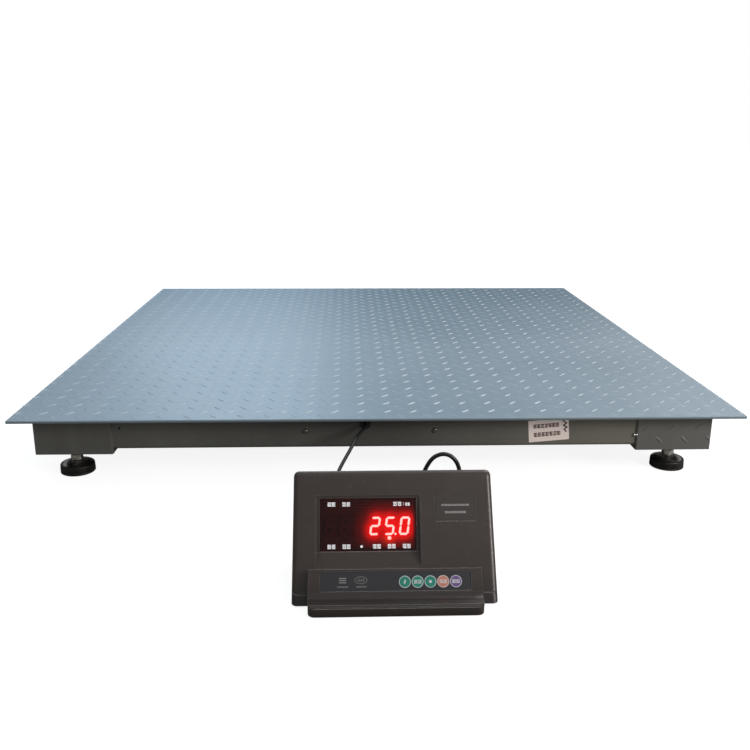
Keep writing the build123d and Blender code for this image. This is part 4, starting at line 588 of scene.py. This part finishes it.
deck_low, deck_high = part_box("deck_plate")
side_x, side_y = deck_high.x, deck_high.y


def deck_ring(inset, z):
    """The plate's outline at a height, drawn in by an inset."""
    return [Vector((sx * (side_x - inset), sy * (side_y - inset), z))
            for sx, sy in ((-1, -1), (1, -1), (1, 1), (-1, 1))]


plate = Shape()
plate.rings([deck_ring(EASE, deck_low.z), deck_ring(0, deck_low.z + EASE),
             deck_ring(0, deck_high.z - EASE), deck_ring(EASE, deck_high.z)])
bars = Shape()
for i, j, turn in lattice(range(-REACH, REACH), range(-2, 2 * REACH)):
    x = LATTICE_X + i * LATTICE
    y = LATTICE_Y + j * LATTICE
    if abs(x) > side_x + BAR_LENGTH / 2 or abs(y) > side_y + BAR_LENGTH / 2:
        continue
    wear = 0.5 + 0.5 * field.noise(Vector((x * 5, y * 5, 1.7)))
    tread_bar(bars, lambda a, b, c, x=x, y=y: Vector((x + a, y + b, deck_high.z + c)), turn, wear)
treads = piece("deck_tread_bars", bars, "deck_paint", smooth=50)
trim(treads, (-side_x + EASE, -side_y + EASE), (side_x - EASE, side_y - EASE))
deck = piece("deck_plate_skin", plate, "deck_paint")
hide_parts("deck_plate")

# The front right corner box is bent from the same plate, pattern outward
box_low, box_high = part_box("corner_box_front_right")
front_marks, side_marks = Shape(), Shape()
for i, j, turn in lattice(range(-3, 6), range(-2, 4)):
    x = box_low.x + BOX_PATTERN_X + i * LATTICE
    y = box_low.y + (x - box_low.x)
    z = box_low.z + BOX_PATTERN_Z + j * LATTICE
    if abs(z - (box_low.z + box_high.z) / 2) > BOX_PATTERN_REACH:
        continue
    if box_low.x - PAST_EDGE < x < box_high.x + PAST_EDGE:
        tread_bar(front_marks, lambda a, b, c, x=x, z=z: Vector((x + a, box_low.y - c, z + b)),
                  turn, BOX_WEAR)
    if box_low.y - PAST_EDGE < y < box_high.y + PAST_EDGE:
        tread_bar(side_marks, lambda a, b, c, y=y, z=z: Vector((box_high.x + c, y + a, z + b)),
                  turn, BOX_WEAR)
edge_low = [v + BOX_INSET for v in box_low]
edge_high = [v - BOX_INSET for v in box_high]
for name, shape, axes in (("front", front_marks, (0, 2)), ("side", side_marks, (1, 2))):
    on_box = piece("corner_box_tread_" + name, shape, "box_tread_paint", slot="frame_paint", smooth=50)
    trim(on_box, edge_low, edge_high, axes)

# ------------------------------------------------------------------ weld beads
WELD_RIPPLE = 1.6 * MM
FILLET = 1.1 * MM
BOX_STITCH = 24 * MM
BOX_STITCH_RADIUS = 2.2 * MM
BEAM_STITCH = 28 * MM
BEAM_STITCH_PITCH = 100 * MM
BEAM_STITCH_RADIUS = 2.0 * MM
welds = Shape()


def bead(start, end, radius, seed):
    """A rippled weld bead between two points."""
    start, end = Vector(start), Vector(end)
    length = (end - start).length
    ahead = (end - start).normalized()
    side = ahead.orthogonal().normalized()
    other = ahead.cross(side)
    steps = max(6, int(length / WELD_RIPPLE))
    rings = []
    for k in range(steps + 1):
        t = k / steps
        swell = 1 + 0.22 * math.sin(k * 2.1) + 0.25 * field.noise(Vector((k * 0.37, seed, 0.5)))
        if k in (0, steps):
            swell *= 0.35
        centre = start + (end - start) * t
        rings.append([centre + (side * math.cos(a) + other * math.sin(a)) * radius * swell
                      for a in [2 * math.pi * n / 10 for n in range(10)]])
    welds.rings(rings)


beam_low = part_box("front_beam")[0]
side_webs = {-1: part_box("left_beam")[0].x, 1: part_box("right_beam")[1].x}
under = deck_low.z
for corner, (sx, sy) in CORNERS.items():
    low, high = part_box("corner_box_" + corner)
    inner_x, outer_x = (high.x, low.x) if sx < 0 else (low.x, high.x)
    inner_y, outer_y = (high.y, low.y) if sy < 0 else (low.y, high.y)
    web_x, web_y = side_webs[sx], sy * abs(beam_low.y)
    # fillets where the beams meet the box
    for (x, y), seed in (((inner_x, web_y), sx + 3 * sy), ((web_x, inner_y), 7 + sx)):
        bead((x, y, beam_low.z + 4 * MM), (x, y, under - 2 * MM), FILLET, seed)
    # stitches between the box and the plate
    for k in range(3):
        t = 0.15 + 0.3 * k
        x = outer_x + (inner_x - outer_x) * t
        bead((x, outer_y, under), (x - sx * BOX_STITCH, outer_y, under), BOX_STITCH_RADIUS, k + sx)
        y = outer_y + (inner_y - outer_y) * t
        bead((outer_x, y, under), (outer_x, y - sy * BOX_STITCH, under), BOX_STITCH_RADIUS, k + sy)
# stitches between the front and rear beams and the plate
for k in range(9):
    x = (k - 4) * BEAM_STITCH_PITCH
    for sy in (-1, 1):
        y = sy * abs(beam_low.y)
        bead((x - BEAM_STITCH / 2, y, under), (x + BEAM_STITCH / 2, y, under), BEAM_STITCH_RADIUS, 20 + k)
piece("weld_beads", welds, "frame_paint", smooth=60)
welds = Shape()
tack = (box_low.x - 0.5 * MM, beam_low.y - 1.0 * MM, 75 * MM + cad_box[0][2])
bead((tack[0] - 5 * MM, tack[1], tack[2]), (tack[0] + 5 * MM, tack[1], tack[2] + 1 * MM), 2.6 * MM, 3.1)
piece("tack_weld", welds, "cell_steel", smooth=60)

# ------------------------------------------------------------------ levelling feet
PITCH = 1.75 * MM
STUD_RADIUS = 6 * MM
THREAD_DEPTH = 0.75 * MM
HEXAGON_FLATS = 18 * MM
# A foot's outlines are in millimetres, heights from the underside of its sole
BALL_RADIUS, BALL_HEIGHT = 7.0, 14
SOCKET_RADIUS = 9.05
NECK_RADIUS = 4.5
CUP_RADIUS, CUP_BOTTOM, CUP_TOP = 25.0, 3.0, 20.9
GROOVE_RADIUS = 28.75
LIP_RADIUS = 3.0


def threaded_rod(shape, centre, z0, z1):
    """A right-hand M12 thread as a continuous helical skin, chamfered at its top end."""
    around = 32
    per_turn = 6
    rows = int((z1 - z0) / PITCH * per_turn)
    rings = []
    for row in range(rows + 1):
        ring = []
        z = z0 + (z1 - z0) * row / rows
        for k in range(around):
            a = 2 * math.pi * k / around
            phase = ((z - z0) / PITCH - k / around) % 1.0
            depth = THREAD_DEPTH * min(1.0, abs(phase - 0.5) * 2 / 0.85)
            radius = STUD_RADIUS - depth
            fade = min(1.0, (z1 - z) / (1.2 * MM) + 0.82)
            ring.append(Vector((centre[0] + radius * fade * math.cos(a),
                                centre[1] + radius * fade * math.sin(a), z)))
        rings.append(ring)
    shape.rings(rings)


def hexagon(shape, centre, z0, z1, flats):
    """A chamfered hexagon."""
    count = 48
    rings = []
    for z, grow in ((z0, 0.90), (z0 + 1.1 * MM, 1.02), (z1 - 1.1 * MM, 1.02), (z1, 0.90)):
        ring = []
        for k in range(count):
            a = 2 * math.pi * k / count
            to_flat = (a + math.pi / 6) % (math.pi / 3) - math.pi / 6
            radius = min(flats / 2 / math.cos(to_flat), flats / 2 * 1.155 * grow)
            ring.append(Vector((centre[0] + radius * math.cos(a), centre[1] + radius * math.sin(a), z)))
        rings.append(ring)
    shape.rings(rings)


def dome_arc(start, middle, end, steps):
    """Points along the circle through three (radius, height) points."""
    (ax, ay), (bx, by), (cx, cy) = start, middle, end
    d = 2 * (ax * (by - cy) + bx * (cy - ay) + cx * (ay - by))
    ux = ((ax * ax + ay * ay) * (by - cy) + (bx * bx + by * by) * (cy - ay)
          + (cx * cx + cy * cy) * (ay - by)) / d
    uy = ((ax * ax + ay * ay) * (cx - bx) + (bx * bx + by * by) * (ax - cx)
          + (cx * cx + cy * cy) * (bx - ax)) / d
    radius = math.hypot(ax - ux, ay - uy)
    first, last = math.atan2(ay - uy, ax - ux), math.atan2(cy - uy, cx - ux)
    return [(ux + radius * math.cos(first + (last - first) * k / steps),
             uy + radius * math.sin(first + (last - first) * k / steps)) for k in range(steps + 1)]


def arc(radius, height, degrees, off_axis=0.0):
    """Points of (radius, height) round a centre, for angles in degrees."""
    return [(off_axis + radius * math.cos(math.radians(a)), height + radius * math.sin(math.radians(a)))
            for a in degrees]


def foot_outline(shape, foot, outline, turns):
    """Turns an outline in millimetres about a foot's axis, from the underside of its sole."""
    lathe(shape, foot, [(r * MM, z * MM) for r, z in outline], turns)


def foot_stud(foot, top):
    """The ball, neck, hexagon and thread of one levelling screw."""
    shape = Shape()
    neck = [(NECK_RADIUS, 19.6), (NECK_RADIUS, 23.0)]
    foot_outline(shape, foot, arc(BALL_RADIUS, BALL_HEIGHT, range(-90, 51, 10)) + neck, 40)
    hexagon(shape, foot, foot[2] + 22.5 * MM, foot[2] + 31 * MM, HEXAGON_FLATS)
    threaded_rod(shape, foot, foot[2] + 30.5 * MM, top)
    return shape


def foot_cup(foot):
    """The turned cup: a flat underside, a domed top and a socket round the ball."""
    shape = Shape()
    outline = [(0, CUP_BOTTOM), (CUP_RADIUS, CUP_BOTTOM), (CUP_RADIUS, 9.0)]
    outline += dome_arc((CUP_RADIUS, 15.2), (19.0, 18.9), (11.0, 20.8), 14)
    outline += [(10.5, CUP_TOP), (6.9, CUP_TOP), (6.5, CUP_TOP - 0.2)]
    outline += arc(SOCKET_RADIUS, BALL_HEIGHT, range(42, -90, -9))
    outline += [(0, BALL_HEIGHT - SOCKET_RADIUS)]
    foot_outline(shape, foot, outline, 72)
    return shape


def foot_sole(foot):
    """The moulded sole: a parting groove low on its side and a rolled lip round the cup."""
    shape = Shape()
    outline = [(0, 0), (27.4, 0), (28.4, 0.25), (28.9, 0.8), (28.95, 3.0)]
    outline += [(GROOVE_RADIUS, 3.3), (GROOVE_RADIUS, 3.9), (28.9, 4.2), (28.6, 12.6)]
    outline += arc(LIP_RADIUS, 12.8, range(8, 91, 10), 28.6 - LIP_RADIUS)
    outline += [(25.3, 15.6), (CUP_RADIUS, 15.0), (CUP_RADIUS, CUP_BOTTOM), (0, CUP_BOTTOM)]
    foot_outline(shape, foot, outline, 72)
    return shape


for corner in CORNERS:
    key = "foot_" + corner
    low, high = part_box(key + "_stud")
    foot = ((low.x + high.x) / 2, (low.y + high.y) / 2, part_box(key + "_sole")[0].z)
    for part, made, shape, material, body, smooth in (
            ("_stud", "_threaded_stud", foot_stud(foot, high.z), "zinc_steel", "_screw", 35),
            ("_cup", "_cup_turned", foot_cup(foot), "foot_metal", "_pad", 40),
            ("_sole", "_sole_moulded", foot_sole(foot), "foot_rubber", "_pad", 40)):
        obj = piece(key + made, shape, material, key + body, smooth=smooth)
        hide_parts(key + part)

# ------------------------------------------------------------------ indicator planes
def centre_of(low, high):
    """The middle of a box."""
    return Vector([(a + b) / 2 for a, b in zip(low, high)])


def points_box(points):
    """The box round some points."""
    return ([min(p[i] for p in points) for i in range(3)], [max(p[i] for p in points) for i in range(3)])


WINDOW_ANGLE = math.radians(64.83)
WINDOW_THICKNESS = 2.0 * MM
OVERLAY_MIDDLE = 1.2 * MM
NAMEPLATE_MIDDLE = 0.75 * MM
LABEL_SPLIT = -0.7
press = next(j for j in frame["joints"] if j["name"] == "key_1_press")
FACE_ANGLE = math.atan2(-press["axis"][1], press["axis"][2])


def slope_over(centre, angle, lift):
    """The sloped plane that lies `lift` in front of a centre point."""
    plane = Slope(centre, angle)
    plane.o = plane.o + plane.n * lift
    return plane


window_low, window_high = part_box("indicator_display_window")
WINDOW = slope_over(centre_of(window_low, window_high), WINDOW_ANGLE, WINDOW_THICKNESS / 2)
overlay_low, overlay_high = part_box("indicator_keypad_overlay")
KEYPAD = slope_over(centre_of(overlay_low, overlay_high), FACE_ANGLE, OVERLAY_MIDDLE)
# the labels are one node: the nameplate lies on the indicator, the sticker on the beam behind it
label_points = [v.co.copy() for v in nodes["labels"].data.vertices]
name_low, name_high = points_box([p for p in label_points if p.y < LABEL_SPLIT])
FACE = slope_over(centre_of(name_low, name_high), FACE_ANGLE, NAMEPLATE_MIDDLE)
FACE_X = (name_low[0] + name_high[0]) / 2
sticker_low, sticker_high = points_box([p for p in label_points if p.y > LABEL_SPLIT])

# ------------------------------------------------------------------ display
DIGIT_PITCH = 18.9 * MM
LAST_DIGIT_X = 17 * MM
ROW_OFFSET = -2.1 * MM
DIGIT_FRONT = -5.0 * MM
SEGMENT_DEPTH = 0.9 * MM
SEGMENT_WIDTH = 2.7 * MM
HALF_HEIGHT = 10.25 * MM
HALF_WIDTH = 4.95 * MM
SLANT = math.tan(math.radians(8))
SEGMENT_LINES = {
    "a": ((-1, 1), (1, 1)), "b": ((1, 1), (1, 0)), "c": ((1, 0), (1, -1)), "d": ((-1, -1), (1, -1)),
    "e": ((-1, 0), (-1, -1)), "f": ((-1, 1), (-1, 0)), "g": ((-1, 0), (1, 0)),
}
SHOWN = {0: "abcdef", 1: "afgcd", 2: "abged"}  # lit segments, counted from the right
POINT_AFTER = 1  # the digit with a lit decimal point
POINT_RADIUS = 1.35 * MM
LAMP = (-2.4 * MM, -17.4 * MM)
LAMP_RADIUS = 2.2 * MM


def segment_outline(cx, cy, start, end):
    """A pointed bar between two corners of the slanted figure eight."""
    a = Vector((start[0] * HALF_WIDTH, start[1] * HALF_HEIGHT))
    b = Vector((end[0] * HALF_WIDTH, end[1] * HALF_HEIGHT))
    along = (b - a).normalized()
    across = Vector((-along.y, along.x))
    gap = 0.28 * MM
    tip = 0.42 * SEGMENT_WIDTH
    half = across * SEGMENT_WIDTH / 2
    a, b = a + along * gap, b - along * gap
    points = [a - along * tip * 0.2, a + along * tip + half, b - along * tip + half,
              b + along * tip * 0.2, b - along * tip - half, a + along * tip - half]
    return [(cx + p.x + p.y * SLANT, cy + p.y) for p in points]


modules, lit, unlit = Shape(), Shape(), Shape()
glow_spots = []  # (x, y, weight) of the places that light the film
for k in range(6):
    cx = LAST_DIGIT_X - DIGIT_PITCH * k
    body = rounded(cx, ROW_OFFSET, DIGIT_PITCH - 0.3 * MM, 26 * MM, 0.8 * MM, 2)
    WINDOW.plate(modules, body, DIGIT_FRONT - 8 * MM, DIGIT_FRONT - 0.45 * MM, 0.3 * MM)
    for name, (start, end) in SEGMENT_LINES.items():
        is_lit = name in SHOWN.get(k, "")
        outline = segment_outline(cx, ROW_OFFSET, start, end)
        WINDOW.plate(lit if is_lit else unlit, outline, DIGIT_FRONT - SEGMENT_DEPTH, DIGIT_FRONT,
                     0.15 * MM)
        if is_lit:
            sx = cx + (start[0] + end[0]) / 2 * HALF_WIDTH
            sy = (start[1] + end[1]) / 2 * HALF_HEIGHT
            for t in (-0.35, 0.0, 0.35):
                glow_spots.append((sx + (end[0] - start[0]) * HALF_WIDTH * t + sy * SLANT,
                                   ROW_OFFSET + sy + (end[1] - start[1]) * HALF_HEIGHT * t, 1.0))
    point = (cx + HALF_WIDTH + 3.5 * MM - HALF_HEIGHT * SLANT, ROW_OFFSET - HALF_HEIGHT)
    WINDOW.plate(lit if k == POINT_AFTER else unlit, disc(*point, POINT_RADIUS, 20),
                 DIGIT_FRONT - SEGMENT_DEPTH, DIGIT_FRONT, 0.15 * MM)
    if k == POINT_AFTER:
        glow_spots.append((*point, 1.0))
WINDOW.plate(lit, disc(*LAMP, LAMP_RADIUS, 24), DIGIT_FRONT - 6 * MM, DIGIT_FRONT, 0.5 * MM)
glow_spots.append((*LAMP, 1.6))
led_modules = piece("led_modules", modules, "module_face", slot="black_plastic")
piece("led_segments_lit", lit, "segment_on", slot="led_segments")
piece("led_segments_unlit", unlit, "segment_off", slot="led_segments")
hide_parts("indicator_led_digits")

# A thin diffusing film behind the window carries the light scattered round the digits
FILM_FRONT, FILM_BACK = -2.7 * MM, -2.9 * MM
FILM_COLUMNS, FILM_ROWS = 84, 44
film_w = window_high.x - window_low.x - 3 * MM
film_h = 62 * MM
film_x = (window_high.x + window_low.x) / 2


def scattered(x, y):
    """Light at a place on the film: a bright ring close to the digits and a faint wide one."""
    near, far = (sum(weight * math.exp(-((x - gx) ** 2 + (y - gy) ** 2) / reach ** 2)
                     for gx, gy, weight in glow_spots)
                 for reach in (6.0 * MM, 15 * MM))
    return 0.20 * (1 - math.exp(-near * 0.6)) + 0.075 * (1 - math.exp(-far * 0.10))


film_levels = []
grid = []
for depth in (FILM_FRONT, FILM_BACK):
    for r in range(FILM_ROWS + 1):
        for c in range(FILM_COLUMNS + 1):
            x = film_x + film_w * (c / FILM_COLUMNS - 0.5)
            y = film_h * (r / FILM_ROWS - 0.5)
            grid.append(WINDOW.at(x, y, depth))
            film_levels.append(scattered(x, y))
film_faces = []
stride = FILM_COLUMNS + 1
sheet = stride * (FILM_ROWS + 1)
for r in range(FILM_ROWS):
    for c in range(FILM_COLUMNS):
        a = r * stride + c
        film_faces.append((a, a + 1, a + stride + 1, a + stride))
        film_faces.append(tuple(sheet + i for i in (a + stride, a + stride + 1, a + 1, a)))
# the narrow edge that joins the two sheets
rim = [r * stride for r in range(FILM_ROWS + 1)]
rim += [FILM_ROWS * stride + c for c in range(1, FILM_COLUMNS + 1)]
rim += [r * stride + FILM_COLUMNS for r in range(FILM_ROWS - 1, -1, -1)]
rim += range(FILM_COLUMNS - 1, 0, -1)
for a, b in zip(rim, rim[1:] + rim[:1]):
    film_faces.append((a, b, sheet + b, sheet + a))
film = Shape()
film.add(grid, film_faces)
diffuser = piece("display_diffuser_film", film, "led_halo", slot="led_segments")
levels = diffuser.data.attributes.new("glow", "FLOAT", "POINT")
levels.data.foreach_set("value", film_levels)

# ------------------------------------------------------------------ printed marks
PRINT = 0.12 * MM


def word(shape, plane, x, y, width, height, letters, depth=0.0, rows=4):
    """A stand-in for a printed word: blocks of uneven dashes that spell nothing."""
    cell = width / letters
    line = height / (rows * 1.5 - 0.5)
    for n in range(letters):
        left = x - width / 2 + cell * (n + 0.06)
        span = cell * 0.88
        for row in range(rows):
            level = y + height / 2 - line * (0.5 + 1.5 * row)
            draw = field.noise(Vector((n * 1.7 + x * 900, row * 2.3 + y * 700, 4.2)))
            cuts = [(0.0, 1.0)] if row in (0, rows - 1) else [(0.0, 0.42), (0.58, 1.0)]
            for start, end in cuts:
                start = min(max(start + 0.35 * draw, 0.0), end - 0.25)
                end = max(min(end + 0.25 * abs(draw), 1.0), start + 0.25)
                a, b = left + span * start, left + span * end
                low, high = level - line / 2, level + line / 2
                plane.plate(shape, [(a, low), (b, low), (b, high), (a, high)], depth, depth + PRINT)
            if row:
                post = left + span * (0.5 + 0.4 * draw)
                a, b = post - line / 2, post + line / 2
                low, high = level + line / 2, level + line
                plane.plate(shape, [(a, low), (b, low), (b, high), (a, high)], depth, depth + PRINT)


legends = Shape()
TOP_ROW = 25.6 * MM
BOTTOM_ROW = -27.5 * MM
for x in (-76.7, -57.8):
    word(legends, WINDOW, x * MM, TOP_ROW, 10.6 * MM, 5.2 * MM, 2)
word(legends, WINDOW, 7.6 * MM, TOP_ROW, 11.0 * MM, 5.0 * MM, 2)
for y in (-1.2, 1.2):
    WINDOW.plate(legends, disc(15.6 * MM, TOP_ROW + y * MM, 0.55 * MM, 12), 0, PRINT)
word(legends, WINDOW, 20.8 * MM, TOP_ROW - 0.4 * MM, 6.2 * MM, 3.8 * MM, 2, rows=3)
for x in (-76.8, -57.6, -19.0, -0.2, 18.9):
    word(legends, WINDOW, x * MM, BOTTOM_ROW, 10.8 * MM, 5.4 * MM, 2)
WINDOW.plate(legends, disc(-38.4 * MM, BOTTOM_ROW, 1.7 * MM, 20), 0, PRINT)
piece("window_legends", legends, "ink_white", slot="label_film")


def hoop(shape, plane, cx, cy, rx, ry, wide, depth):
    """A printed oval ring."""
    count = 40
    loops = []
    for inset, z in ((0, depth), (0, depth + PRINT), (wide, depth + PRINT), (wide, depth)):
        loops.append([plane.at(cx + (rx - inset) * math.cos(2 * math.pi * k / count),
                               cy + (ry - inset) * math.sin(2 * math.pi * k / count), z)
                      for k in range(count)])
    faces = []
    for r in range(4):
        a, b = r * count, (r + 1) % 4 * count
        for k in range(count):
            j = (k + 1) % count
            faces.append((a + k, a + j, b + j, b + k))
    shape.add([p for loop in loops for p in loop], faces)


# Two plain marks above the keys, in places where a maker would put its own: an oval and bars
FILM_TOP = -0.8 * MM
OVAL_X, BARS_X = -40.0, -62.5
CAPTION_Y = -6.2 * MM
symbols = Shape()
hoop(symbols, KEYPAD, OVAL_X * MM, 1.6 * MM, 8.0 * MM, 4.4 * MM, 0.55 * MM, FILM_TOP)
for k in range(4):
    stroke = rounded((-43.6 + 2.4 * k) * MM, 1.6 * MM, 0.8 * MM, (3.0 + k % 2) * MM, 0.2 * MM, 2)
    KEYPAD.plate(symbols, stroke, FILM_TOP, FILM_TOP + PRINT)
word(symbols, KEYPAD, -39.5 * MM, CAPTION_Y, 13 * MM, 1.7 * MM, 7, FILM_TOP)
for k in range(3):
    stroke = rounded(BARS_X * MM, (4.0 - 2.6 * k) * MM, 9.0 * MM, 1.3 * MM, 0.4 * MM, 2)
    KEYPAD.plate(symbols, stroke, FILM_TOP, FILM_TOP + PRINT)
word(symbols, KEYPAD, BARS_X * MM, CAPTION_Y, 14 * MM, 1.7 * MM, 7, FILM_TOP)
piece("keypad_symbols", symbols, "ink_grey", slot="label_film")

CAP_TOP = -0.4 * MM
KEY_RADIUS = 7.6 * MM
KEY_Y = -1.0 * MM
KEY_COLOURS = ("key_green", "key_green", "key_green", "key_orange", "key_purple")
for index in range(5):
    key = "indicator_key_" + str(index + 1)
    low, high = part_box(key)
    cx = (low.x + high.x) / 2
    nodes[key].data.materials[0] = M[KEY_COLOURS[index]]
    rim = Shape()
    ring_radius = KEY_RADIUS - 0.35 * MM
    hoop(rim, KEYPAD, cx, KEY_Y, ring_radius, ring_radius, 0.75 * MM, CAP_TOP)
    if index == 0:
        stroke = rounded(cx, KEY_Y, 1.9 * MM, 5.0 * MM, 0.5 * MM, 2, -0.25)
        KEYPAD.plate(rim, stroke, CAP_TOP, CAP_TOP + PRINT)
    elif index == 2:
        KEYPAD.plate(rim, disc(cx, KEY_Y, 1.9 * MM, 20), CAP_TOP, CAP_TOP + PRINT)
    else:
        word(rim, KEYPAD, cx, KEY_Y, 9.8 * MM, 4.4 * MM, 2, CAP_TOP)
    piece("key_" + str(index + 1) + "_print", rim, "key_rim", "key_" + str(index + 1), "label_film")

# ------------------------------------------------------------------ nameplate and sticker
NAME_W = name_high[0] - name_low[0]
NAME_Z = -0.5 * MM
along = math.hypot(name_high[1] - name_low[1], name_high[2] - name_low[2])
blank = Shape()
FACE.plate(blank, rounded(FACE_X, 0, NAME_W, along - 0.6 * MM, 1 * MM, 4), NAME_Z - 0.5 * MM, NAME_Z,
           0.12 * MM)
piece("nameplate_blank", blank, "nameplate_dark", slot="overlay_film")
rows = Shape()
word(rows, FACE, FACE_X, 3.6 * MM, 36 * MM, 2.3 * MM, 12, NAME_Z)
word(rows, FACE, FACE_X, -5.6 * MM, 27 * MM, 2.6 * MM, 9, NAME_Z)
piece("nameplate_print", rows, "ink_light", slot="label_film")


class Wall(Slope):
    """The front of the beam, facing forward, turned by the sticker's tilt."""

    def __init__(self, centre, tilt):
        self.o = Vector(centre)
        self.u = Vector((math.cos(tilt), 0, math.sin(tilt)))
        self.v = Vector((-math.sin(tilt), 0, math.cos(tilt)))
        self.n = Vector((0, -1, 0))

    def at(self, x, y, z=0.0):
        """The point at x along, y up and z out, all from the sticker's middle."""
        return self.o + self.u * x + self.v * y + self.n * z


STICKER_TILT = math.radians(4.75)
STICKER_THICKNESS = 0.3 * MM
beam_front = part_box("front_beam")[0].y
sticker_centre = centre_of(sticker_low, sticker_high)
STICKER = Wall((sticker_centre.x, beam_front, sticker_centre.z), STICKER_TILT)
sticker = Shape()
STICKER.plate(sticker, rounded(0, 0, 68 * MM, 38 * MM, 1 * MM, 4), 0, STICKER_THICKNESS, 0.08 * MM)
sticker_piece = piece("beam_sticker", sticker, "label_film")
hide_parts("labels")
marks = Shape()
word(marks, STICKER, -4 * MM, 8.6 * MM, 44 * MM, 7.0 * MM, 7, STICKER_THICKNESS, 3)
word(marks, STICKER, -3 * MM, -6.4 * MM, 46 * MM, 7.4 * MM, 7, STICKER_THICKNESS, 3)
scrawl = [(24.5, 15.0), (30.5, 10.0), (25.0, 6.5), (31.0, 3.0), (26.0, -0.5), (29.5, -5.0)]
for (ax, ay), (bx, by) in zip(scrawl, scrawl[1:]):
    length = math.hypot(bx - ax, by - ay) + 1.6
    stroke = rounded((ax + bx) / 2 * MM, (ay + by) / 2 * MM, length * MM, 2.3 * MM, 0.8 * MM, 2,
                     math.atan2(by - ay, bx - ax))
    STICKER.plate(marks, stroke, STICKER_THICKNESS, STICKER_THICKNESS + PRINT)
piece("beam_sticker_print", marks, "ink_black", slot="label_film")

# ------------------------------------------------------------------ soft edges on carried-over parts
for name in ("indicator_signal_plug", "indicator_power_cord", "signal_cable", "indicator_rubber_feet",
             "cable_glands", "load_cell_cables"):
    mesh = nodes[name].data
    for poly in mesh.polygons:
        poly.use_smooth = True
    mesh.set_sharp_from_angle(angle=math.radians(35))

# ------------------------------------------------------------------ floor, light and camera
FLOOR_HALF = 40
PAPER_GLOW = 0.89
SKY_LOW, SKY_HIGH = 0.14, 0.50
floor_z = cad_box[0][2]
floor_mesh = bpy.data.meshes.new("studio_floor")
floor_mesh.from_pydata([(sx * FLOOR_HALF, sy * FLOOR_HALF, floor_z)
                        for sx, sy in ((-1, -1), (1, -1), (1, 1), (-1, 1))], [], [(0, 1, 2, 3)])
floor_obj = bpy.data.objects.new("studio_floor", floor_mesh)
bpy.context.scene.collection.objects.link(floor_obj)
# the paper looks nearly white to the camera, but throws less light up at the object
paper = Mat("studio_paper")
seen = paper.node("LightPath").outputs["Is Camera Ray"]
shade = paper.mix(paper.fit(paper.noise(3, 4), 0.3, 0.7), srgb(150, 150, 150), srgb(156, 156, 156))
paper.set(Base_Color=paper.mix(seen, srgb(168, 165, 160), shade), Roughness=0.9, Specular_IOR_Level=0.1,
          Emission_Color=(1, 1, 1, 1), Emission_Strength=paper.math("MULTIPLY", seen, PAPER_GLOW))
floor_mesh.materials.append(paper.mat)

scene = bpy.context.scene
world = bpy.data.worlds.new("studio")
scene.world = world
world.use_nodes = True
sky = world.node_tree
# a dome that brightens upward lights the object; the camera sees plain white
background = sky.nodes["Background"]
background.inputs[0].default_value = (0.97, 0.985, 1.0, 1)
height = sky.nodes.new("ShaderNodeSeparateXYZ")
sky.links.new(sky.nodes.new("ShaderNodeTexCoord").outputs["Generated"], height.inputs[0])
dome = sky.nodes.new("ShaderNodeMapRange")
for socket, value in zip(dome.inputs[1:5], (-0.1, 0.9, SKY_LOW, SKY_HIGH)):
    socket.default_value = value
sky.links.new(height.outputs["Z"], dome.inputs[0])
sky.links.new(dome.outputs[0], background.inputs[1])
backdrop = sky.nodes.new("ShaderNodeBackground")
backdrop.inputs[0].default_value = (1, 1, 1, 1)
choice = sky.nodes.new("ShaderNodeMixShader")
sky.links.new(sky.nodes.new("ShaderNodeLightPath").outputs["Is Camera Ray"], choice.inputs[0])
sky.links.new(background.outputs[0], choice.inputs[1])
sky.links.new(backdrop.outputs[0], choice.inputs[2])
sky.links.new(choice.outputs[0], sky.nodes["World Output"].inputs[0])


def softbox(name, at, aim, size, power, colour):
    """A rectangular studio light, aimed at a point."""
    light = bpy.data.lights.new(name, "AREA")
    light.shape = "RECTANGLE"
    light.size, light.size_y = size
    light.energy = power
    light.color = colour
    obj = bpy.data.objects.new(name, light)
    bpy.context.scene.collection.objects.link(obj)
    obj.location = at
    obj.rotation_euler = (Vector(aim) - Vector(at)).to_track_quat("-Z", "Y").to_euler()


softbox("key_light", at=(3.2, 4.0, 5.6), aim=(0, 0, 0), size=(2.1, 2.1), power=242,
        colour=(1.0, 0.985, 0.96))
softbox("side_light", at=(1.64, -1.8, 0.8), aim=(0.3, -0.72, 0), size=(0.65, 0.55), power=22,
        colour=(1.0, 0.97, 0.94))
softbox("glint_light", at=(0.55, -2.1, 1.55), aim=(0, -0.5, -0.1), size=(0.26, 0.26), power=1.3,
        colour=(1.0, 1.0, 1.0))
softbox("window_light", at=(-0.62, 2.4, 1.3), aim=(-0.1, -0.8, 0), size=(1.0, 0.8), power=15,
        colour=(0.62, 0.80, 1.0))

CAMERA_PLACE = (-0.0563, -1.8804, 0.4396)
LENS = 40.2
yaw, pitch, roll = math.radians(2.021), math.radians(15.959), math.radians(0.261)
ahead = Vector((math.sin(yaw) * math.cos(pitch), math.cos(yaw) * math.cos(pitch), -math.sin(pitch)))
level = Vector((math.cos(yaw), -math.sin(yaw), 0))
upward = level.cross(ahead)
right = level * math.cos(roll) + upward * math.sin(roll)
above = upward * math.cos(roll) - level * math.sin(roll)
camera = bpy.data.cameras.new("photo_camera")
camera.lens = LENS
camera.sensor_width = 36
camera.clip_end = 200
camera_obj = bpy.data.objects.new("photo_camera", camera)
scene.collection.objects.link(camera_obj)
camera_matrix = Matrix((right, above, -ahead)).transposed().to_4x4()
camera_matrix.translation = Vector(CAMERA_PLACE)
camera_obj.matrix_world = camera_matrix
scene.camera = camera_obj
scene.view_settings.view_transform = "Standard"
